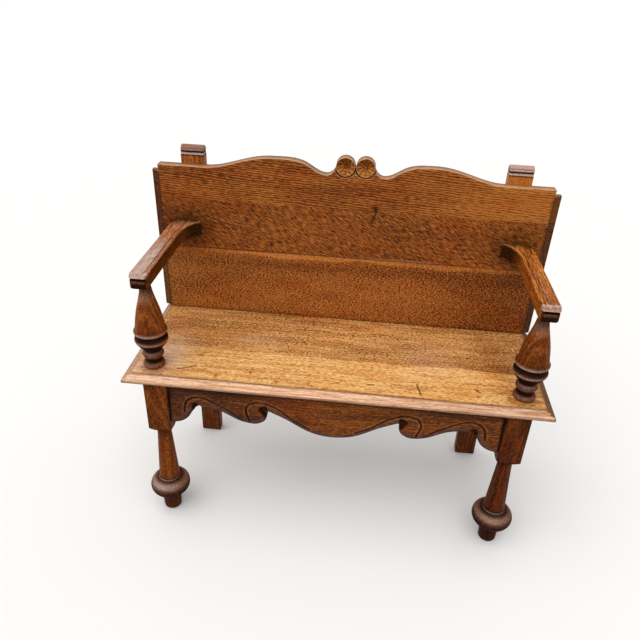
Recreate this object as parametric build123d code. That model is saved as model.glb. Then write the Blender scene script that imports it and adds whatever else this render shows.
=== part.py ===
from build123d import *
from math import acos, degrees, radians, sin
import os

# Hall bench in oak. X runs along the seat, +Y points to the back, +Z is up.
# The origin is on the floor, under the middle of the bench. All sizes are in millimetres.

# Seat: two boards glued edge to edge, with a quirk and hollow moulding on three sides
SEAT_WIDTH = 1010.0
SEAT_HEIGHT = 470.0
SEAT_THICKNESS = 20.0
SEAT_FLAT_DEPTH = 322.0
SEAT_JOINT_DEPTH = 128.0
EDGE_WIDTH = 18.5
EDGE_DROP = 12.0
EDGE_QUIRK = 2.0
EDGE_HOLLOW = 1.2

# Back: three boards standing on the seat, screwed to two uprights
BACK_THICKNESS = 26.0
JOINT_BELOW_ARM = 36.5
JOINT_ABOVE_ARM = 59.5
CREST_END_HEIGHT = 85.0
CORNER_NOTCH = 17.0

# Crest: a flat at each end, a hump each side, and a pair of rosettes set by hand just off the middle
CREST_FLAT_X = 366.0
CREST_SLOPE_X = 263.0
CREST_SLOPE_RISE = 23.0
CREST_HUMP_X = 200.0
CREST_HUMP_RISE = 32.5
CREST_SHOULDER_X = 122.0
CREST_SHOULDER_RISE = 23.0
CREST_VALLEY_X = 71.0
ORNAMENT_X = 6.0
ROSETTE_RADIUS = 23.5
ROSETTE_RISE = 23.0
ROSETTE_SPACING = 49.0
ROSETTE_RIM = 3.5
ROSETTE_DISH = 4.0
ROSETTE_BUTTON = 4.5
ROSETTE_CHANNEL = 3.0

# Uprights behind the back, which are also the rear legs
POST_WIDTH = 58.0
POST_DEPTH = 30.0
POST_RISE = 42.5
POST_SET_IN = 29.5
CAP_HEIGHT = 15.0
CAP_GROOVE = 4.0
CAP_GROOVE_DEPTH = 3.0
CAP_BEVEL = 10.0
CAP_SIDE_BEVEL = 3.0

# Front legs: a square block over a turned column, bulb and foot
LEG_BLOCK = 58.0
SIDE_OVERHANG = 42.5
FRONT_OVERHANG = 23.0
BLOCK_BOTTOM = 286.0
BLOCK_SHOULDER = 10.0
SHOULDER_MIDDLE = 3.5
COLUMN_TOP_RADIUS = 16.5
COLUMN_FOOT_RADIUS = 27.0
COLLAR_RADIUS = 29.0
COLLAR_HEIGHT = 3.0
BULB_RADIUS = 52.0
BULB_HALF_HEIGHT = 34.0
BULB_CENTRE_HEIGHT = 84.0
FOOT_TOP_RADIUS = 25.5
FOOT_RADIUS = 23.0
FOOT_ROUND = 7.0

# Turned supports under the arms, pinned through the seat into the leg blocks
SUPPORT_OUTSET = 7.0
SUPPORT_SETBACK = 7.5
SUPPORT_DISC_RADIUS = 25.5
SUPPORT_DISC_HEIGHT = 12.0
SUPPORT_NECK_RADIUS = 14.0
SUPPORT_NECK_HEIGHT = 6.0
SUPPORT_BEAD_RADIUS = 26.5
SUPPORT_BEAD_HEIGHT = 34.0
SUPPORT_CUP_NECK = 20.5
SUPPORT_CUP_HEIGHT = 22.0
SUPPORT_RING_RADIUS = 39.3
SUPPORT_RING_HEIGHT = 5.0
SUPPORT_COVE_RADIUS = 33.0
SUPPORT_COVE_HEIGHT = 17.0
BELL_LIP_HEIGHT = 10.0
BELL_SHOULDER_RADIUS = 34.5
BELL_WAIST_RADIUS = 27.3
BELL_WAIST_DROP = 71.0
BELL_NECK_RADIUS = 17.0
BELL_NECK_DROP = 32.0
BELL_TOP_RADIUS = 11.5
SPIGOT_RADIUS = 9.0
SPIGOT_DEPTH = 40.0
ARM_SPIGOT_DEPTH = 24.0

# Arms: straight from the front, then swept inwards to the back, with a moulded front end
ARM_RISE = 260.0
ARM_THICKNESS = 36.0
ARM_FRONT_WIDTH = 40.0
ARM_OVERHANG = 30.0
ARM_STRAIGHT = 235.0
ARM_SWEEP_IN = 36.0
ARM_TIP = 4.0
ARM_FRONT_FLARE = 1.5
ARM_OUTER_SWEEP = 11.0
ARM_END_BEVEL = 9.0
ARM_END_GROOVE = 9.0
ARM_END_GROOVE_DEPTH = 6.0
ARM_END_SETBACK = 3.0
ARM_CORNER = 6.0

# Apron: a carved board with a centre drop, a scroll and an arch on each side
APRON_THICKNESS = 20.0
APRON_SETBACK = 4.0
APRON_DROP = 134.5
DROP_WAIST_X = 61.0
DROP_WAIST_RISE = 12.5
DROP_SHOULDER_X = 113.0
DROP_SHOULDER_RISE = 42.5
SCROLL_TIP_X = 157.0
SCROLL_TIP_RISE = 60.5
SCROLL_EYE = 12.0
SCROLL_LOBE_X = 196.0
SCROLL_LOBE_RISE = 20.0
ARCH_TOP_X = 332.0
ARCH_TOP_RISE = 71.5
ARCH_HOOK = 14.0
ARCH_END_RISE = 4.5
BAND_WIDTH = 16.0
BAND_CHANNEL = 3.0
BAND_CHANNEL_DEPTH = 2.0

# Rails, tenons and corner blocks under the seat
RAIL_THICKNESS = 22.0
RAIL_HEIGHT = 80.0
TENON_THICKNESS = 9.0
TENON_LENGTH = 20.0
TENON_SHOULDER = 10.0
CORNER_BLOCK = 28.0
CORNER_BLOCK_HEIGHT = 50.0
JOINT_CLEARANCE = 0.15
MORTISE_RELIEF = 1.0
OVERCUT = 1.0

# Dowels and screws
DOWEL_RADIUS = 4.0
DOWEL_LENGTH = 40.0
DOWELS_PER_JOINT = 4
SCREW_RADIUS = 2.5
SCREW_HEAD_RADIUS = 5.0
SCREW_HEAD_HEIGHT = 3.5
SCREW_GRIP = 18.0
ARM_SCREW_GRIP = 28.0
ARM_SCREW_SPACING = 14.0
SEAT_SCREW_GRIP = 12.0
SCREW_EDGE = 11.0
SCREW_INSET = 30.0

# Levels and lines that the pieces share
BULB_PROUD = max(0, BULB_RADIUS - LEG_BLOCK / 2 - FRONT_OVERHANG)
DEPTH = BULB_PROUD + EDGE_WIDTH + SEAT_FLAT_DEPTH + BACK_THICKNESS + POST_DEPTH
NOSE_Y = BULB_PROUD - DEPTH / 2
FLAT_Y = NOSE_Y + EDGE_WIDTH
BACK_Y = FLAT_Y + SEAT_FLAT_DEPTH
POST_Y = BACK_Y + BACK_THICKNESS
REAR_Y = POST_Y + POST_DEPTH
SEAT_JOINT_Y = FLAT_Y + SEAT_JOINT_DEPTH
SEAT_UNDER = SEAT_HEIGHT - SEAT_THICKNESS
SEAT_TONGUE_Y = POST_Y + RAIL_THICKNESS
ARM_TOP = SEAT_HEIGHT + ARM_RISE
ARM_UNDER = ARM_TOP - ARM_THICKNESS
LOWER_JOINT = ARM_UNDER - JOINT_BELOW_ARM
UPPER_JOINT = ARM_TOP + JOINT_ABOVE_ARM
CREST_END = UPPER_JOINT + CREST_END_HEIGHT
POST_TOP = CREST_END + POST_RISE
LEG_OUTER_X = SEAT_WIDTH / 2 - SIDE_OVERHANG
LEG_X = LEG_OUTER_X - LEG_BLOCK / 2
LEG_INNER_X = LEG_OUTER_X - LEG_BLOCK
LEG_FRONT_Y = NOSE_Y + FRONT_OVERHANG
LEG_Y = LEG_FRONT_Y + LEG_BLOCK / 2
LEG_REAR_Y = LEG_FRONT_Y + LEG_BLOCK
SUPPORT_X = LEG_X + SUPPORT_OUTSET
SUPPORT_Y = LEG_Y + SUPPORT_SETBACK
POST_OUTER_X = LEG_OUTER_X - POST_SET_IN
POST_X = POST_OUTER_X - POST_WIDTH / 2
POST_INNER_X = POST_OUTER_X - POST_WIDTH
RAIL_X = (max(LEG_INNER_X, POST_INNER_X) + POST_OUTER_X) / 2
RAIL_INNER_X = RAIL_X - RAIL_THICKNESS / 2
RAIL_BOTTOM = SEAT_UNDER - RAIL_HEIGHT
APRON_Y = LEG_FRONT_Y + APRON_SETBACK
APRON_REAR_Y = APRON_Y + APRON_THICKNESS
APRON_LOW = SEAT_UNDER - APRON_DROP
ARM_FRONT_Y = LEG_Y - ARM_OVERHANG
ARM_INNER_X = SUPPORT_X - ARM_FRONT_WIDTH / 2
ARM_OUTER_X = SUPPORT_X + ARM_FRONT_WIDTH / 2
ARM_SCREW_X = POST_OUTER_X - SCREW_EDGE


def span(x, y, z):
    """A box from a (low, high) pair along each axis."""
    size = [high - low for low, high in (x, y, z)]
    middle = [(low + high) / 2 for low, high in (x, y, z)]
    return Pos(*middle) * Box(*size)


def turned(outline):
    """A solid of revolution about Z from (radius, height) lines and arcs that start and end on the axis."""
    start, end = outline @ 0, outline @ 1
    profile = make_face(Plane.XZ * (outline + Line(end, start)))
    return revolve(profile, Axis.Z)


def left_of(shape):
    """The left-hand twin of a right-hand piece."""
    return mirror(shape, about=Plane.YZ)


def upright_board(outline, depth):
    """A board whose (x, z) outline stands at y = 0 and runs back by depth."""
    return extrude(Plane.XZ * outline, amount=-depth)


def rod(radius, length):
    """A rod along +Z from the origin."""
    return Cylinder(radius, length, align=(Align.CENTER, Align.CENTER, Align.MIN))


def screw(grip, clearance=0.0):
    """A countersunk screw pointing up +Z with its head at z = 0, or the hole for it with a clearance."""
    shank = rod(SCREW_RADIUS + clearance, grip + clearance)
    head = Cone(
        SCREW_HEAD_RADIUS + clearance,
        SCREW_RADIUS + clearance,
        SCREW_HEAD_HEIGHT,
        align=(Align.CENTER, Align.CENTER, Align.MIN),
    )
    return shank + head


def forward(shape):
    """Turns a piece that points up so that it points from the back to the front."""
    return Rot(90, 0, 0) * shape


def edge_waste(length):
    """What the edge moulding takes off: +X is outwards, z = 0 is the flat, and it runs both ways along Y."""
    quirk = (0, -EDGE_QUIRK)
    nose = (EDGE_WIDTH, -EDGE_DROP)
    middle = (EDGE_WIDTH / 2, -(EDGE_QUIRK + EDGE_DROP) / 2 - EDGE_HOLLOW)
    hollow = ThreePointArc(quirk, middle, nose)
    far = 2 * EDGE_WIDTH
    rest = Polyline(nose, (far, -EDGE_DROP), (far, EDGE_DROP), (0, EDGE_DROP), quirk)
    return extrude(Plane.XZ * make_face(hollow + rest), amount=length / 2, both=True)


def dowel_places():
    """Where the dowels stand along a joint between two boards."""
    pitch = SEAT_WIDTH / DOWELS_PER_JOINT
    return [(i + 0.5) * pitch - SEAT_WIDTH / 2 for i in range(DOWELS_PER_JOINT)]


def seat_dowel(radius, length):
    """The seat joint's dowels, or their holes."""
    level = SEAT_HEIGHT - SEAT_THICKNESS / 2 - EDGE_QUIRK
    pin = Pos(0, SEAT_JOINT_Y + length / 2, level) * forward(rod(radius, length))
    return Compound(children=[Pos(x, 0, 0) * pin for x in dowel_places()])


def back_dowel(joint, radius, length):
    """The dowels of one joint in the back, or their holes."""
    middle = (BACK_Y + POST_Y) / 2
    pin = Pos(0, middle, joint - length / 2) * rod(radius, length)
    return Compound(children=[Pos(x, 0, 0) * pin for x in dowel_places()])


def holes(make, *args):
    """The dowel holes that match a row of dowels."""
    return make(*args, DOWEL_RADIUS + JOINT_CLEARANCE, DOWEL_LENGTH + MORTISE_RELIEF)


def back_screw_heights():
    """Two screws through each upright into each board of the back."""
    boards = ((SEAT_HEIGHT, LOWER_JOINT), (LOWER_JOINT, UPPER_JOINT), (UPPER_JOINT, CREST_END))
    return [z for low, high in boards for z in (low + SCREW_INSET, high - SCREW_INSET)]


def back_screw_set(clearance=0.0):
    """The right-hand upright's screws into the back, or their holes."""
    grip = POST_DEPTH + SCREW_GRIP
    places = [Pos(POST_X, REAR_Y, z) for z in back_screw_heights()]
    return Compound(children=[place * forward(screw(grip, clearance)) for place in places])


def arm_screw_set(clearance=0.0):
    """Two long screws through the right-hand upright and the back into the arm, or their holes."""
    grip = POST_DEPTH + BACK_THICKNESS + ARM_SCREW_GRIP
    middle = ARM_UNDER + ARM_THICKNESS / 2
    heights = (middle - ARM_SCREW_SPACING / 2, middle + ARM_SCREW_SPACING / 2)
    places = [Pos(ARM_SCREW_X, REAR_Y, z) for z in heights]
    return Compound(children=[place * forward(screw(grip, clearance)) for place in places])


def corner_block_places():
    """The right-hand corner blocks, as (x, y) spans: one beside the leg block, one beside the upright."""
    front = ((LEG_INNER_X - CORNER_BLOCK, LEG_INNER_X), (APRON_REAR_Y, APRON_REAR_Y + CORNER_BLOCK))
    rear = ((RAIL_INNER_X - CORNER_BLOCK, RAIL_INNER_X), (POST_Y - CORNER_BLOCK, POST_Y))
    return {"front": front, "rear": rear}


def seat_screw_set(clearance=0.0):
    """The right-hand screws up through the corner blocks into the seat, or their holes."""
    grip = CORNER_BLOCK_HEIGHT + SEAT_SCREW_GRIP
    places = []
    for x, y in corner_block_places().values():
        places.append(Pos(sum(x) / 2, sum(y) / 2, SEAT_UNDER - CORNER_BLOCK_HEIGHT))
    return Compound(children=[place * screw(grip, clearance) for place in places])


def both_sides(shape):
    """A right-hand group and its left-hand twin as one group of solids."""
    return Compound(children=[*shape.solids(), *left_of(shape).solids()])


def seat_boards():
    """The front and rear boards of the seat, drilled for the arm supports, dowels and screws."""
    half = SEAT_WIDTH / 2
    tongue = POST_INNER_X - JOINT_CLEARANCE
    seat = span((-half, half), (NOSE_Y, POST_Y), (SEAT_UNDER, SEAT_HEIGHT))
    seat += span((-tongue, tongue), (POST_Y, SEAT_TONGUE_Y), (SEAT_UNDER, SEAT_HEIGHT))
    side = Pos(half - EDGE_WIDTH, 0, SEAT_HEIGHT) * edge_waste(2 * DEPTH)
    seat -= Pos(0, FLAT_Y, SEAT_HEIGHT) * Rot(0, 0, -90) * edge_waste(2 * SEAT_WIDTH)
    seat -= side
    seat -= left_of(side)
    for x in (-SUPPORT_X, SUPPORT_X):
        seat -= Pos(x, SUPPORT_Y, SEAT_UNDER) * rod(SPIGOT_RADIUS + JOINT_CLEARANCE, SEAT_THICKNESS)
    seat -= both_sides(seat_screw_set(JOINT_CLEARANCE))
    seat -= holes(seat_dowel)
    front = span((-half, half), (NOSE_Y, SEAT_JOINT_Y), (SEAT_UNDER, SEAT_HEIGHT))
    return seat & front, seat - front


def crest_outline():
    """The crest board's face: flats, humps and valleys on each side of two round rosettes."""
    half = SEAT_WIDTH / 2
    rosette_z = CREST_END + ROSETTE_RISE
    reach = ROSETTE_SPACING / 2 + ROSETTE_RADIUS
    edges = []
    for side in (-1, 1):
        valley = (ORNAMENT_X + side * CREST_VALLEY_X, CREST_END)
        flat = (side * CREST_FLAT_X, CREST_END)
        hump = (side * CREST_HUMP_X, CREST_END + CREST_HUMP_RISE)
        slope = (side * CREST_SLOPE_X, CREST_END + CREST_SLOPE_RISE)
        shoulder = (ORNAMENT_X + side * CREST_SHOULDER_X, CREST_END + CREST_SHOULDER_RISE)
        rosette = (ORNAMENT_X + side * reach, rosette_z)
        edges.append(Polyline((side * half, UPPER_JOINT), (side * half, CREST_END), flat))
        edges.append(Spline(flat, slope, hump, tangents=((-side, 0), (-side, 0))))
        edges.append(Spline(hump, shoulder, valley, tangents=((-side, 0), (-side, 0))))
        edges.append(Spline(valley, rosette, tangents=((-side, 0), (0, 1))))
        edges.append(
            ThreePointArc(
                rosette,
                (ORNAMENT_X + side * ROSETTE_SPACING / 2, rosette_z + ROSETTE_RADIUS),
                (ORNAMENT_X + side * (ROSETTE_SPACING / 2 - ROSETTE_RADIUS), rosette_z),
            )
        )
    inner = ROSETTE_SPACING / 2 - ROSETTE_RADIUS
    edges.append(Line((ORNAMENT_X - inner, rosette_z), (ORNAMENT_X + inner, rosette_z)))
    edges.append(Line((-half, UPPER_JOINT), (half, UPPER_JOINT)))
    return make_face(Curve(edges))


def rosette_waste():
    """What carving takes out of one rosette: a dish round a low button, and a channel under its lower half."""
    dish_radius = ROSETTE_RADIUS - ROSETTE_RIM
    dish = Curve(
        [
            Line((0, -OVERCUT), (0, ROSETTE_DISH / 2)),
            Line((0, ROSETTE_DISH / 2), (ROSETTE_BUTTON, ROSETTE_DISH)),
            Line((ROSETTE_BUTTON, ROSETTE_DISH), (dish_radius, 0)),
            Polyline((dish_radius, 0), (dish_radius, -OVERCUT), (0, -OVERCUT)),
        ]
    )
    hollow = revolve(make_face(dish), Axis.Y)
    ring = Circle(ROSETTE_RADIUS + ROSETTE_CHANNEL) - Circle(ROSETTE_RADIUS)
    reach = ROSETTE_RADIUS + ROSETTE_CHANNEL
    lower = ring & (Pos(0, -reach / 2 - ROSETTE_CHANNEL) * Rectangle(2 * reach, reach))
    return hollow + upright_board(lower, ROSETTE_CHANNEL)


def back_boards():
    """The lower, middle and crest boards of the back, moulded at both ends."""
    half = SEAT_WIDTH / 2
    end = Pos(half - EDGE_WIDTH, BACK_Y, SEAT_HEIGHT) * Rot(90, 0, 0) * edge_waste(4 * CREST_END)
    corner = span(
        (half - EDGE_WIDTH, half + EDGE_WIDTH),
        (BACK_Y - EDGE_DROP, POST_Y + EDGE_DROP),
        (CREST_END - CORNER_NOTCH, CREST_END + CORNER_NOTCH),
    )
    cuts = [end, corner, back_screw_set(JOINT_CLEARANCE), arm_screw_set(JOINT_CLEARANCE)]
    lower = span((-half, half), (BACK_Y, POST_Y), (SEAT_HEIGHT, LOWER_JOINT))
    middle = span((-half, half), (BACK_Y, POST_Y), (LOWER_JOINT, UPPER_JOINT))
    crest = Pos(0, BACK_Y, 0) * upright_board(crest_outline(), BACK_THICKNESS)
    for offset in (-ROSETTE_SPACING / 2, ROSETTE_SPACING / 2):
        crest -= Pos(ORNAMENT_X + offset, BACK_Y, CREST_END + ROSETTE_RISE) * rosette_waste()
    dowel_rows = [holes(back_dowel, z) for z in (LOWER_JOINT, UPPER_JOINT)]
    finished = []
    for board in (lower, middle, crest):
        for cut in cuts:
            board = board - cut - left_of(cut)
        for row in dowel_rows:
            board = board - row
        finished.append(board)
    return finished


def rear_post():
    """The right-hand upright: a square-edged leg with a grooved and bevelled cap."""
    post = span((POST_INNER_X, POST_OUTER_X), (POST_Y, REAR_Y), (0, POST_TOP))
    post = chamfer(post.edges().group_by(Axis.Z)[-1].filter_by(Axis.X), CAP_BEVEL)
    post = chamfer(post.edges().group_by(Axis.Z)[-1].filter_by(Axis.Y), CAP_SIDE_BEVEL)
    groove = (POST_TOP - CAP_HEIGHT - CAP_GROOVE, POST_TOP - CAP_HEIGHT)
    deep = CAP_GROOVE_DEPTH
    core = span((POST_INNER_X + deep, POST_OUTER_X - deep), (POST_Y + deep, REAR_Y - deep), groove)
    post -= span((POST_INNER_X, POST_OUTER_X), (POST_Y, REAR_Y), groove) - core
    post -= side_rail_tenon("rear", JOINT_CLEARANCE)
    post -= rear_rail_tenon(JOINT_CLEARANCE)
    return post - back_screw_set(JOINT_CLEARANCE) - arm_screw_set(JOINT_CLEARANCE)


def front_leg():
    """The right-hand front leg: square block, shoulder, tapered column, bulb and foot."""
    # The turned stock clears the corners of the square block, which reach 0.71 of its width
    corner = 0.75 * LEG_BLOCK
    bulb_at = BULB_CENTRE_HEIGHT
    column_turn = degrees(acos(COLLAR_RADIUS / BULB_RADIUS))
    foot_turn = -degrees(acos(FOOT_TOP_RADIUS / BULB_RADIUS))
    column_z = bulb_at + BULB_HALF_HEIGHT * sin(radians(column_turn))
    foot_z = bulb_at + BULB_HALF_HEIGHT * sin(radians(foot_turn))
    collar_z = column_z + COLLAR_HEIGHT
    outline = Curve(
        [
            Line((0, 0), (FOOT_RADIUS - FOOT_ROUND, 0)),
            RadiusArc((FOOT_RADIUS - FOOT_ROUND, 0), (FOOT_RADIUS, FOOT_ROUND), -FOOT_ROUND),
            Line((FOOT_RADIUS, FOOT_ROUND), (FOOT_TOP_RADIUS, foot_z)),
            EllipticalCenterArc(
                (0, bulb_at),
                BULB_RADIUS,
                BULB_HALF_HEIGHT,
                start_angle=foot_turn,
                arc_size=column_turn - foot_turn,
            ),
            Polyline(
                (COLLAR_RADIUS, column_z),
                (COLLAR_RADIUS, collar_z),
                (COLUMN_FOOT_RADIUS, collar_z),
                (COLUMN_TOP_RADIUS, BLOCK_BOTTOM),
            ),
            ThreePointArc(
                (COLUMN_TOP_RADIUS, BLOCK_BOTTOM),
                (LEG_BLOCK / 2, BLOCK_BOTTOM + SHOULDER_MIDDLE),
                (corner, BLOCK_BOTTOM + BLOCK_SHOULDER),
            ),
            Polyline((corner, BLOCK_BOTTOM + BLOCK_SHOULDER), (corner, SEAT_UNDER), (0, SEAT_UNDER)),
        ]
    )
    stock = Pos(LEG_X, LEG_Y, 0) * turned(outline)
    square = span((LEG_INNER_X, LEG_OUTER_X), (LEG_FRONT_Y, LEG_REAR_Y), (BLOCK_BOTTOM, SEAT_UNDER))
    below = Pos(LEG_X, LEG_Y, 0) * rod(2 * BULB_RADIUS, BLOCK_BOTTOM)
    leg = stock & (square + below)
    leg -= side_rail_tenon("front", JOINT_CLEARANCE)
    leg -= apron_tenon(JOINT_CLEARANCE)
    socket = SPIGOT_DEPTH + MORTISE_RELIEF
    return leg - Pos(SUPPORT_X, SUPPORT_Y, SEAT_UNDER - socket) * rod(SPIGOT_RADIUS + JOINT_CLEARANCE, socket)


def arm_support():
    """The right-hand turned support: disc, bead, cup, a cove between two rings, and a bell."""
    z = SEAT_HEIGHT
    disc_z = z + SUPPORT_DISC_HEIGHT
    bead_z = disc_z + SUPPORT_NECK_HEIGHT
    cup_z = bead_z + SUPPORT_BEAD_HEIGHT
    ring_z = cup_z + SUPPORT_CUP_HEIGHT
    cove_z = ring_z + SUPPORT_RING_HEIGHT
    lip_z = cove_z + SUPPORT_COVE_HEIGHT
    bell_z = lip_z + SUPPORT_RING_HEIGHT
    shoulder_z = bell_z + BELL_LIP_HEIGHT
    neck, ring = SUPPORT_NECK_RADIUS, SUPPORT_RING_RADIUS
    disc = SUPPORT_DISC_RADIUS - SUPPORT_DISC_HEIGHT / 2
    pin_z = SEAT_UNDER - SPIGOT_DEPTH
    outline = Curve(
        [
            Polyline((0, pin_z), (SPIGOT_RADIUS, pin_z), (SPIGOT_RADIUS, z), (disc, z)),
            ThreePointArc((disc, z), (SUPPORT_DISC_RADIUS, (z + disc_z) / 2), (disc, disc_z)),
            Polyline((disc, disc_z), (neck, disc_z), (neck, bead_z)),
            ThreePointArc(
                (neck, bead_z),
                (SUPPORT_BEAD_RADIUS, (bead_z + cup_z) / 2),
                (SUPPORT_CUP_NECK, cup_z),
            ),
            Spline((SUPPORT_CUP_NECK, cup_z), (ring, ring_z), tangents=((1, 0.8), (0.3, 1))),
            Line((ring, ring_z), (ring, cove_z)),
            ThreePointArc((ring, cove_z), (SUPPORT_COVE_RADIUS, (cove_z + lip_z) / 2), (ring, lip_z)),
            Line((ring, lip_z), (ring, bell_z)),
            Spline((ring, bell_z), (BELL_SHOULDER_RADIUS, shoulder_z), tangents=((-1, 0.5), (-0.12, 1))),
            Spline(
                (BELL_SHOULDER_RADIUS, shoulder_z),
                (BELL_WAIST_RADIUS, ARM_UNDER - BELL_WAIST_DROP),
                (BELL_NECK_RADIUS, ARM_UNDER - BELL_NECK_DROP),
                (BELL_TOP_RADIUS, ARM_UNDER),
            ),
            Polyline(
                (BELL_TOP_RADIUS, ARM_UNDER),
                (SPIGOT_RADIUS, ARM_UNDER),
                (SPIGOT_RADIUS, ARM_UNDER + ARM_SPIGOT_DEPTH),
                (0, ARM_UNDER + ARM_SPIGOT_DEPTH),
            ),
        ]
    )
    return Pos(SUPPORT_X, SUPPORT_Y, 0) * turned(outline)


def arm():
    """The right-hand arm: wider at the front, swept in at the back, with a moulded front end."""
    bend_y = ARM_FRONT_Y + ARM_STRAIGHT
    rear_inner = ARM_INNER_X - ARM_SWEEP_IN
    rear_outer = ARM_OUTER_X - ARM_OUTER_SWEEP
    front_outer = ARM_OUTER_X + ARM_FRONT_FLARE
    tip_y = BACK_Y - ARM_TIP
    plan = Curve(
        [
            Polyline((ARM_INNER_X, ARM_FRONT_Y), (front_outer, ARM_FRONT_Y), (ARM_OUTER_X, bend_y)),
            Spline((ARM_OUTER_X, bend_y), (rear_outer, BACK_Y), tangents=((0, 1), (-0.6, 1))),
            Polyline((rear_outer, BACK_Y), (rear_inner, BACK_Y), (rear_inner, tip_y)),
            EllipticalCenterArc((rear_inner, bend_y), ARM_SWEEP_IN, tip_y - bend_y, arc_size=90),
            Line((ARM_INNER_X, bend_y), (ARM_INNER_X, ARM_FRONT_Y)),
        ]
    )
    blank = Pos(0, 0, ARM_UNDER) * extrude(make_face(plan), amount=ARM_THICKNESS)
    front = blank.edges().filter_by(Axis.Z).group_by(Axis.Y)[0]
    blank = fillet(front, ARM_CORNER)
    shape = blank - arm_end_waste()
    shape -= Pos(SUPPORT_X, SUPPORT_Y, ARM_UNDER) * rod(
        SPIGOT_RADIUS + JOINT_CLEARANCE, ARM_SPIGOT_DEPTH + MORTISE_RELIEF
    )
    return shape - arm_screw_set(JOINT_CLEARANCE)


def arm_end_waste():
    """What is cut from the arm's front end: a bevel on top, a cove under the lip and a set-back lower face."""
    lip_z = ARM_TOP - ARM_END_BEVEL
    cove_z = lip_z - ARM_END_GROOVE
    front = ARM_FRONT_Y
    ahead = front - ARM_END_BEVEL
    low_front = front + ARM_END_SETBACK
    bevel = Polyline(
        (front + ARM_END_BEVEL, ARM_TOP),
        (front, lip_z),
        (ahead, lip_z),
        (ahead, ARM_TOP),
        close=True,
    )
    cove_arc = ThreePointArc(
        (front, lip_z), (front + ARM_END_GROOVE_DEPTH, (lip_z + cove_z) / 2), (low_front, cove_z)
    )
    cove_rest = Polyline(
        (low_front, cove_z), (low_front, ARM_UNDER), (ahead, ARM_UNDER), (ahead, lip_z), (front, lip_z)
    )
    faces = [make_face(bevel), make_face(cove_arc + cove_rest)]
    side = Plane.YZ.offset(SUPPORT_X)
    cuts = [extrude(side * face, amount=ARM_FRONT_WIDTH, both=True) for face in faces]
    return cuts[0] + cuts[1]


def apron_edge():
    """The right half of the apron's lower edge, from the centre drop to the leg."""
    waist = (DROP_WAIST_X, APRON_LOW + DROP_WAIST_RISE)
    shoulder = (DROP_SHOULDER_X, APRON_LOW + DROP_SHOULDER_RISE)
    tip = (SCROLL_TIP_X, APRON_LOW + SCROLL_TIP_RISE)
    eye = (SCROLL_TIP_X + 2 * SCROLL_EYE, tip[1] + 0.6 * SCROLL_EYE)
    lobe_start = (SCROLL_TIP_X + 0.3 * SCROLL_EYE, tip[1] - 0.75 * SCROLL_EYE)
    lobe_low = (SCROLL_LOBE_X, APRON_LOW + SCROLL_LOBE_RISE)
    arch_top = (ARCH_TOP_X, APRON_LOW + ARCH_TOP_RISE)
    hook = (ARCH_TOP_X + ARCH_HOOK, arch_top[1] - ARCH_HOOK)
    end = (LEG_INNER_X, APRON_LOW + ARCH_END_RISE)
    return [
        Spline((0, APRON_LOW), waist, shoulder, tip, tangents=((1, 0), (1, 0.2))),
        ThreePointArc(tip, (tip[0] + 0.9 * SCROLL_EYE, tip[1] + 1.35 * SCROLL_EYE), eye),
        Spline(eye, lobe_start, tangents=((0, -1), (-0.35, -1))),
        Spline(lobe_start, lobe_low, tangents=((0, -1), (1, 0))),
        Spline(lobe_low, arch_top, tangents=((1, 0), (1, 0))),
        RadiusArc(arch_top, hook, ARCH_HOOK),
        Spline(hook, end, tangents=((0, -1), (1, 0))),
    ]


def apron_bands():
    """The two incised lines on the right half: one round the scroll, one over the arch."""
    tip_z = APRON_LOW + SCROLL_TIP_RISE
    arch_z = APRON_LOW + ARCH_TOP_RISE + BAND_WIDTH
    scroll = Spline(
        (SCROLL_LOBE_X + 0.3 * BAND_WIDTH, APRON_LOW + SCROLL_LOBE_RISE + 0.4 * BAND_WIDTH),
        (SCROLL_TIP_X + 4.5 * SCROLL_EYE, tip_z),
        (SCROLL_TIP_X + 1.4 * SCROLL_EYE, tip_z + 1.3 * SCROLL_EYE + 0.7 * BAND_WIDTH),
        (SCROLL_TIP_X - 3.5 * SCROLL_EYE, tip_z - 0.3 * SCROLL_EYE + 0.5 * BAND_WIDTH),
        (0.4 * SCROLL_TIP_X, APRON_LOW + 0.3 * SCROLL_TIP_RISE + 0.4 * BAND_WIDTH),
    )
    arch = Spline(
        (SCROLL_LOBE_X + 1.8 * BAND_WIDTH, APRON_LOW + SCROLL_LOBE_RISE + 1.4 * BAND_WIDTH),
        (ARCH_TOP_X - 3.0 * BAND_WIDTH, arch_z - 0.7 * BAND_WIDTH),
        (ARCH_TOP_X - 0.3 * BAND_WIDTH, arch_z),
        (ARCH_TOP_X + ARCH_HOOK + 0.9 * BAND_WIDTH, arch_z - 1.3 * BAND_WIDTH),
        (ARCH_TOP_X + ARCH_HOOK + 1.4 * BAND_WIDTH, arch_z - 3.4 * BAND_WIDTH),
    )
    return [scroll, arch]


def apron():
    """The carved front apron, with a tenon at each end."""
    right = Curve(apron_edge())
    left = mirror(right, about=Plane.YZ)
    end = LEG_INNER_X
    end_z = APRON_LOW + ARCH_END_RISE
    top = Polyline((end, end_z), (end, SEAT_UNDER), (-end, SEAT_UNDER), (-end, end_z))
    board = upright_board(make_face(Curve([*right.edges(), *left.edges(), *top.edges()])), APRON_THICKNESS)
    for line in apron_bands():
        channel = upright_board(trace(line, BAND_CHANNEL), BAND_CHANNEL_DEPTH)
        board = board - channel - left_of(channel)
    board = Pos(0, APRON_Y, 0) * board
    tenon = apron_tenon()
    return board + tenon + left_of(tenon)


def tenon_reach(clearance):
    """A tenon's length, or the depth of the mortise for it."""
    return TENON_LENGTH + (MORTISE_RELIEF if clearance else 0)


def rail_tenon_heights(clearance):
    """The low and high edges of a rail's tenon, or of the mortise for it."""
    return (RAIL_BOTTOM + TENON_SHOULDER - clearance, SEAT_UNDER - TENON_SHOULDER + clearance)


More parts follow.
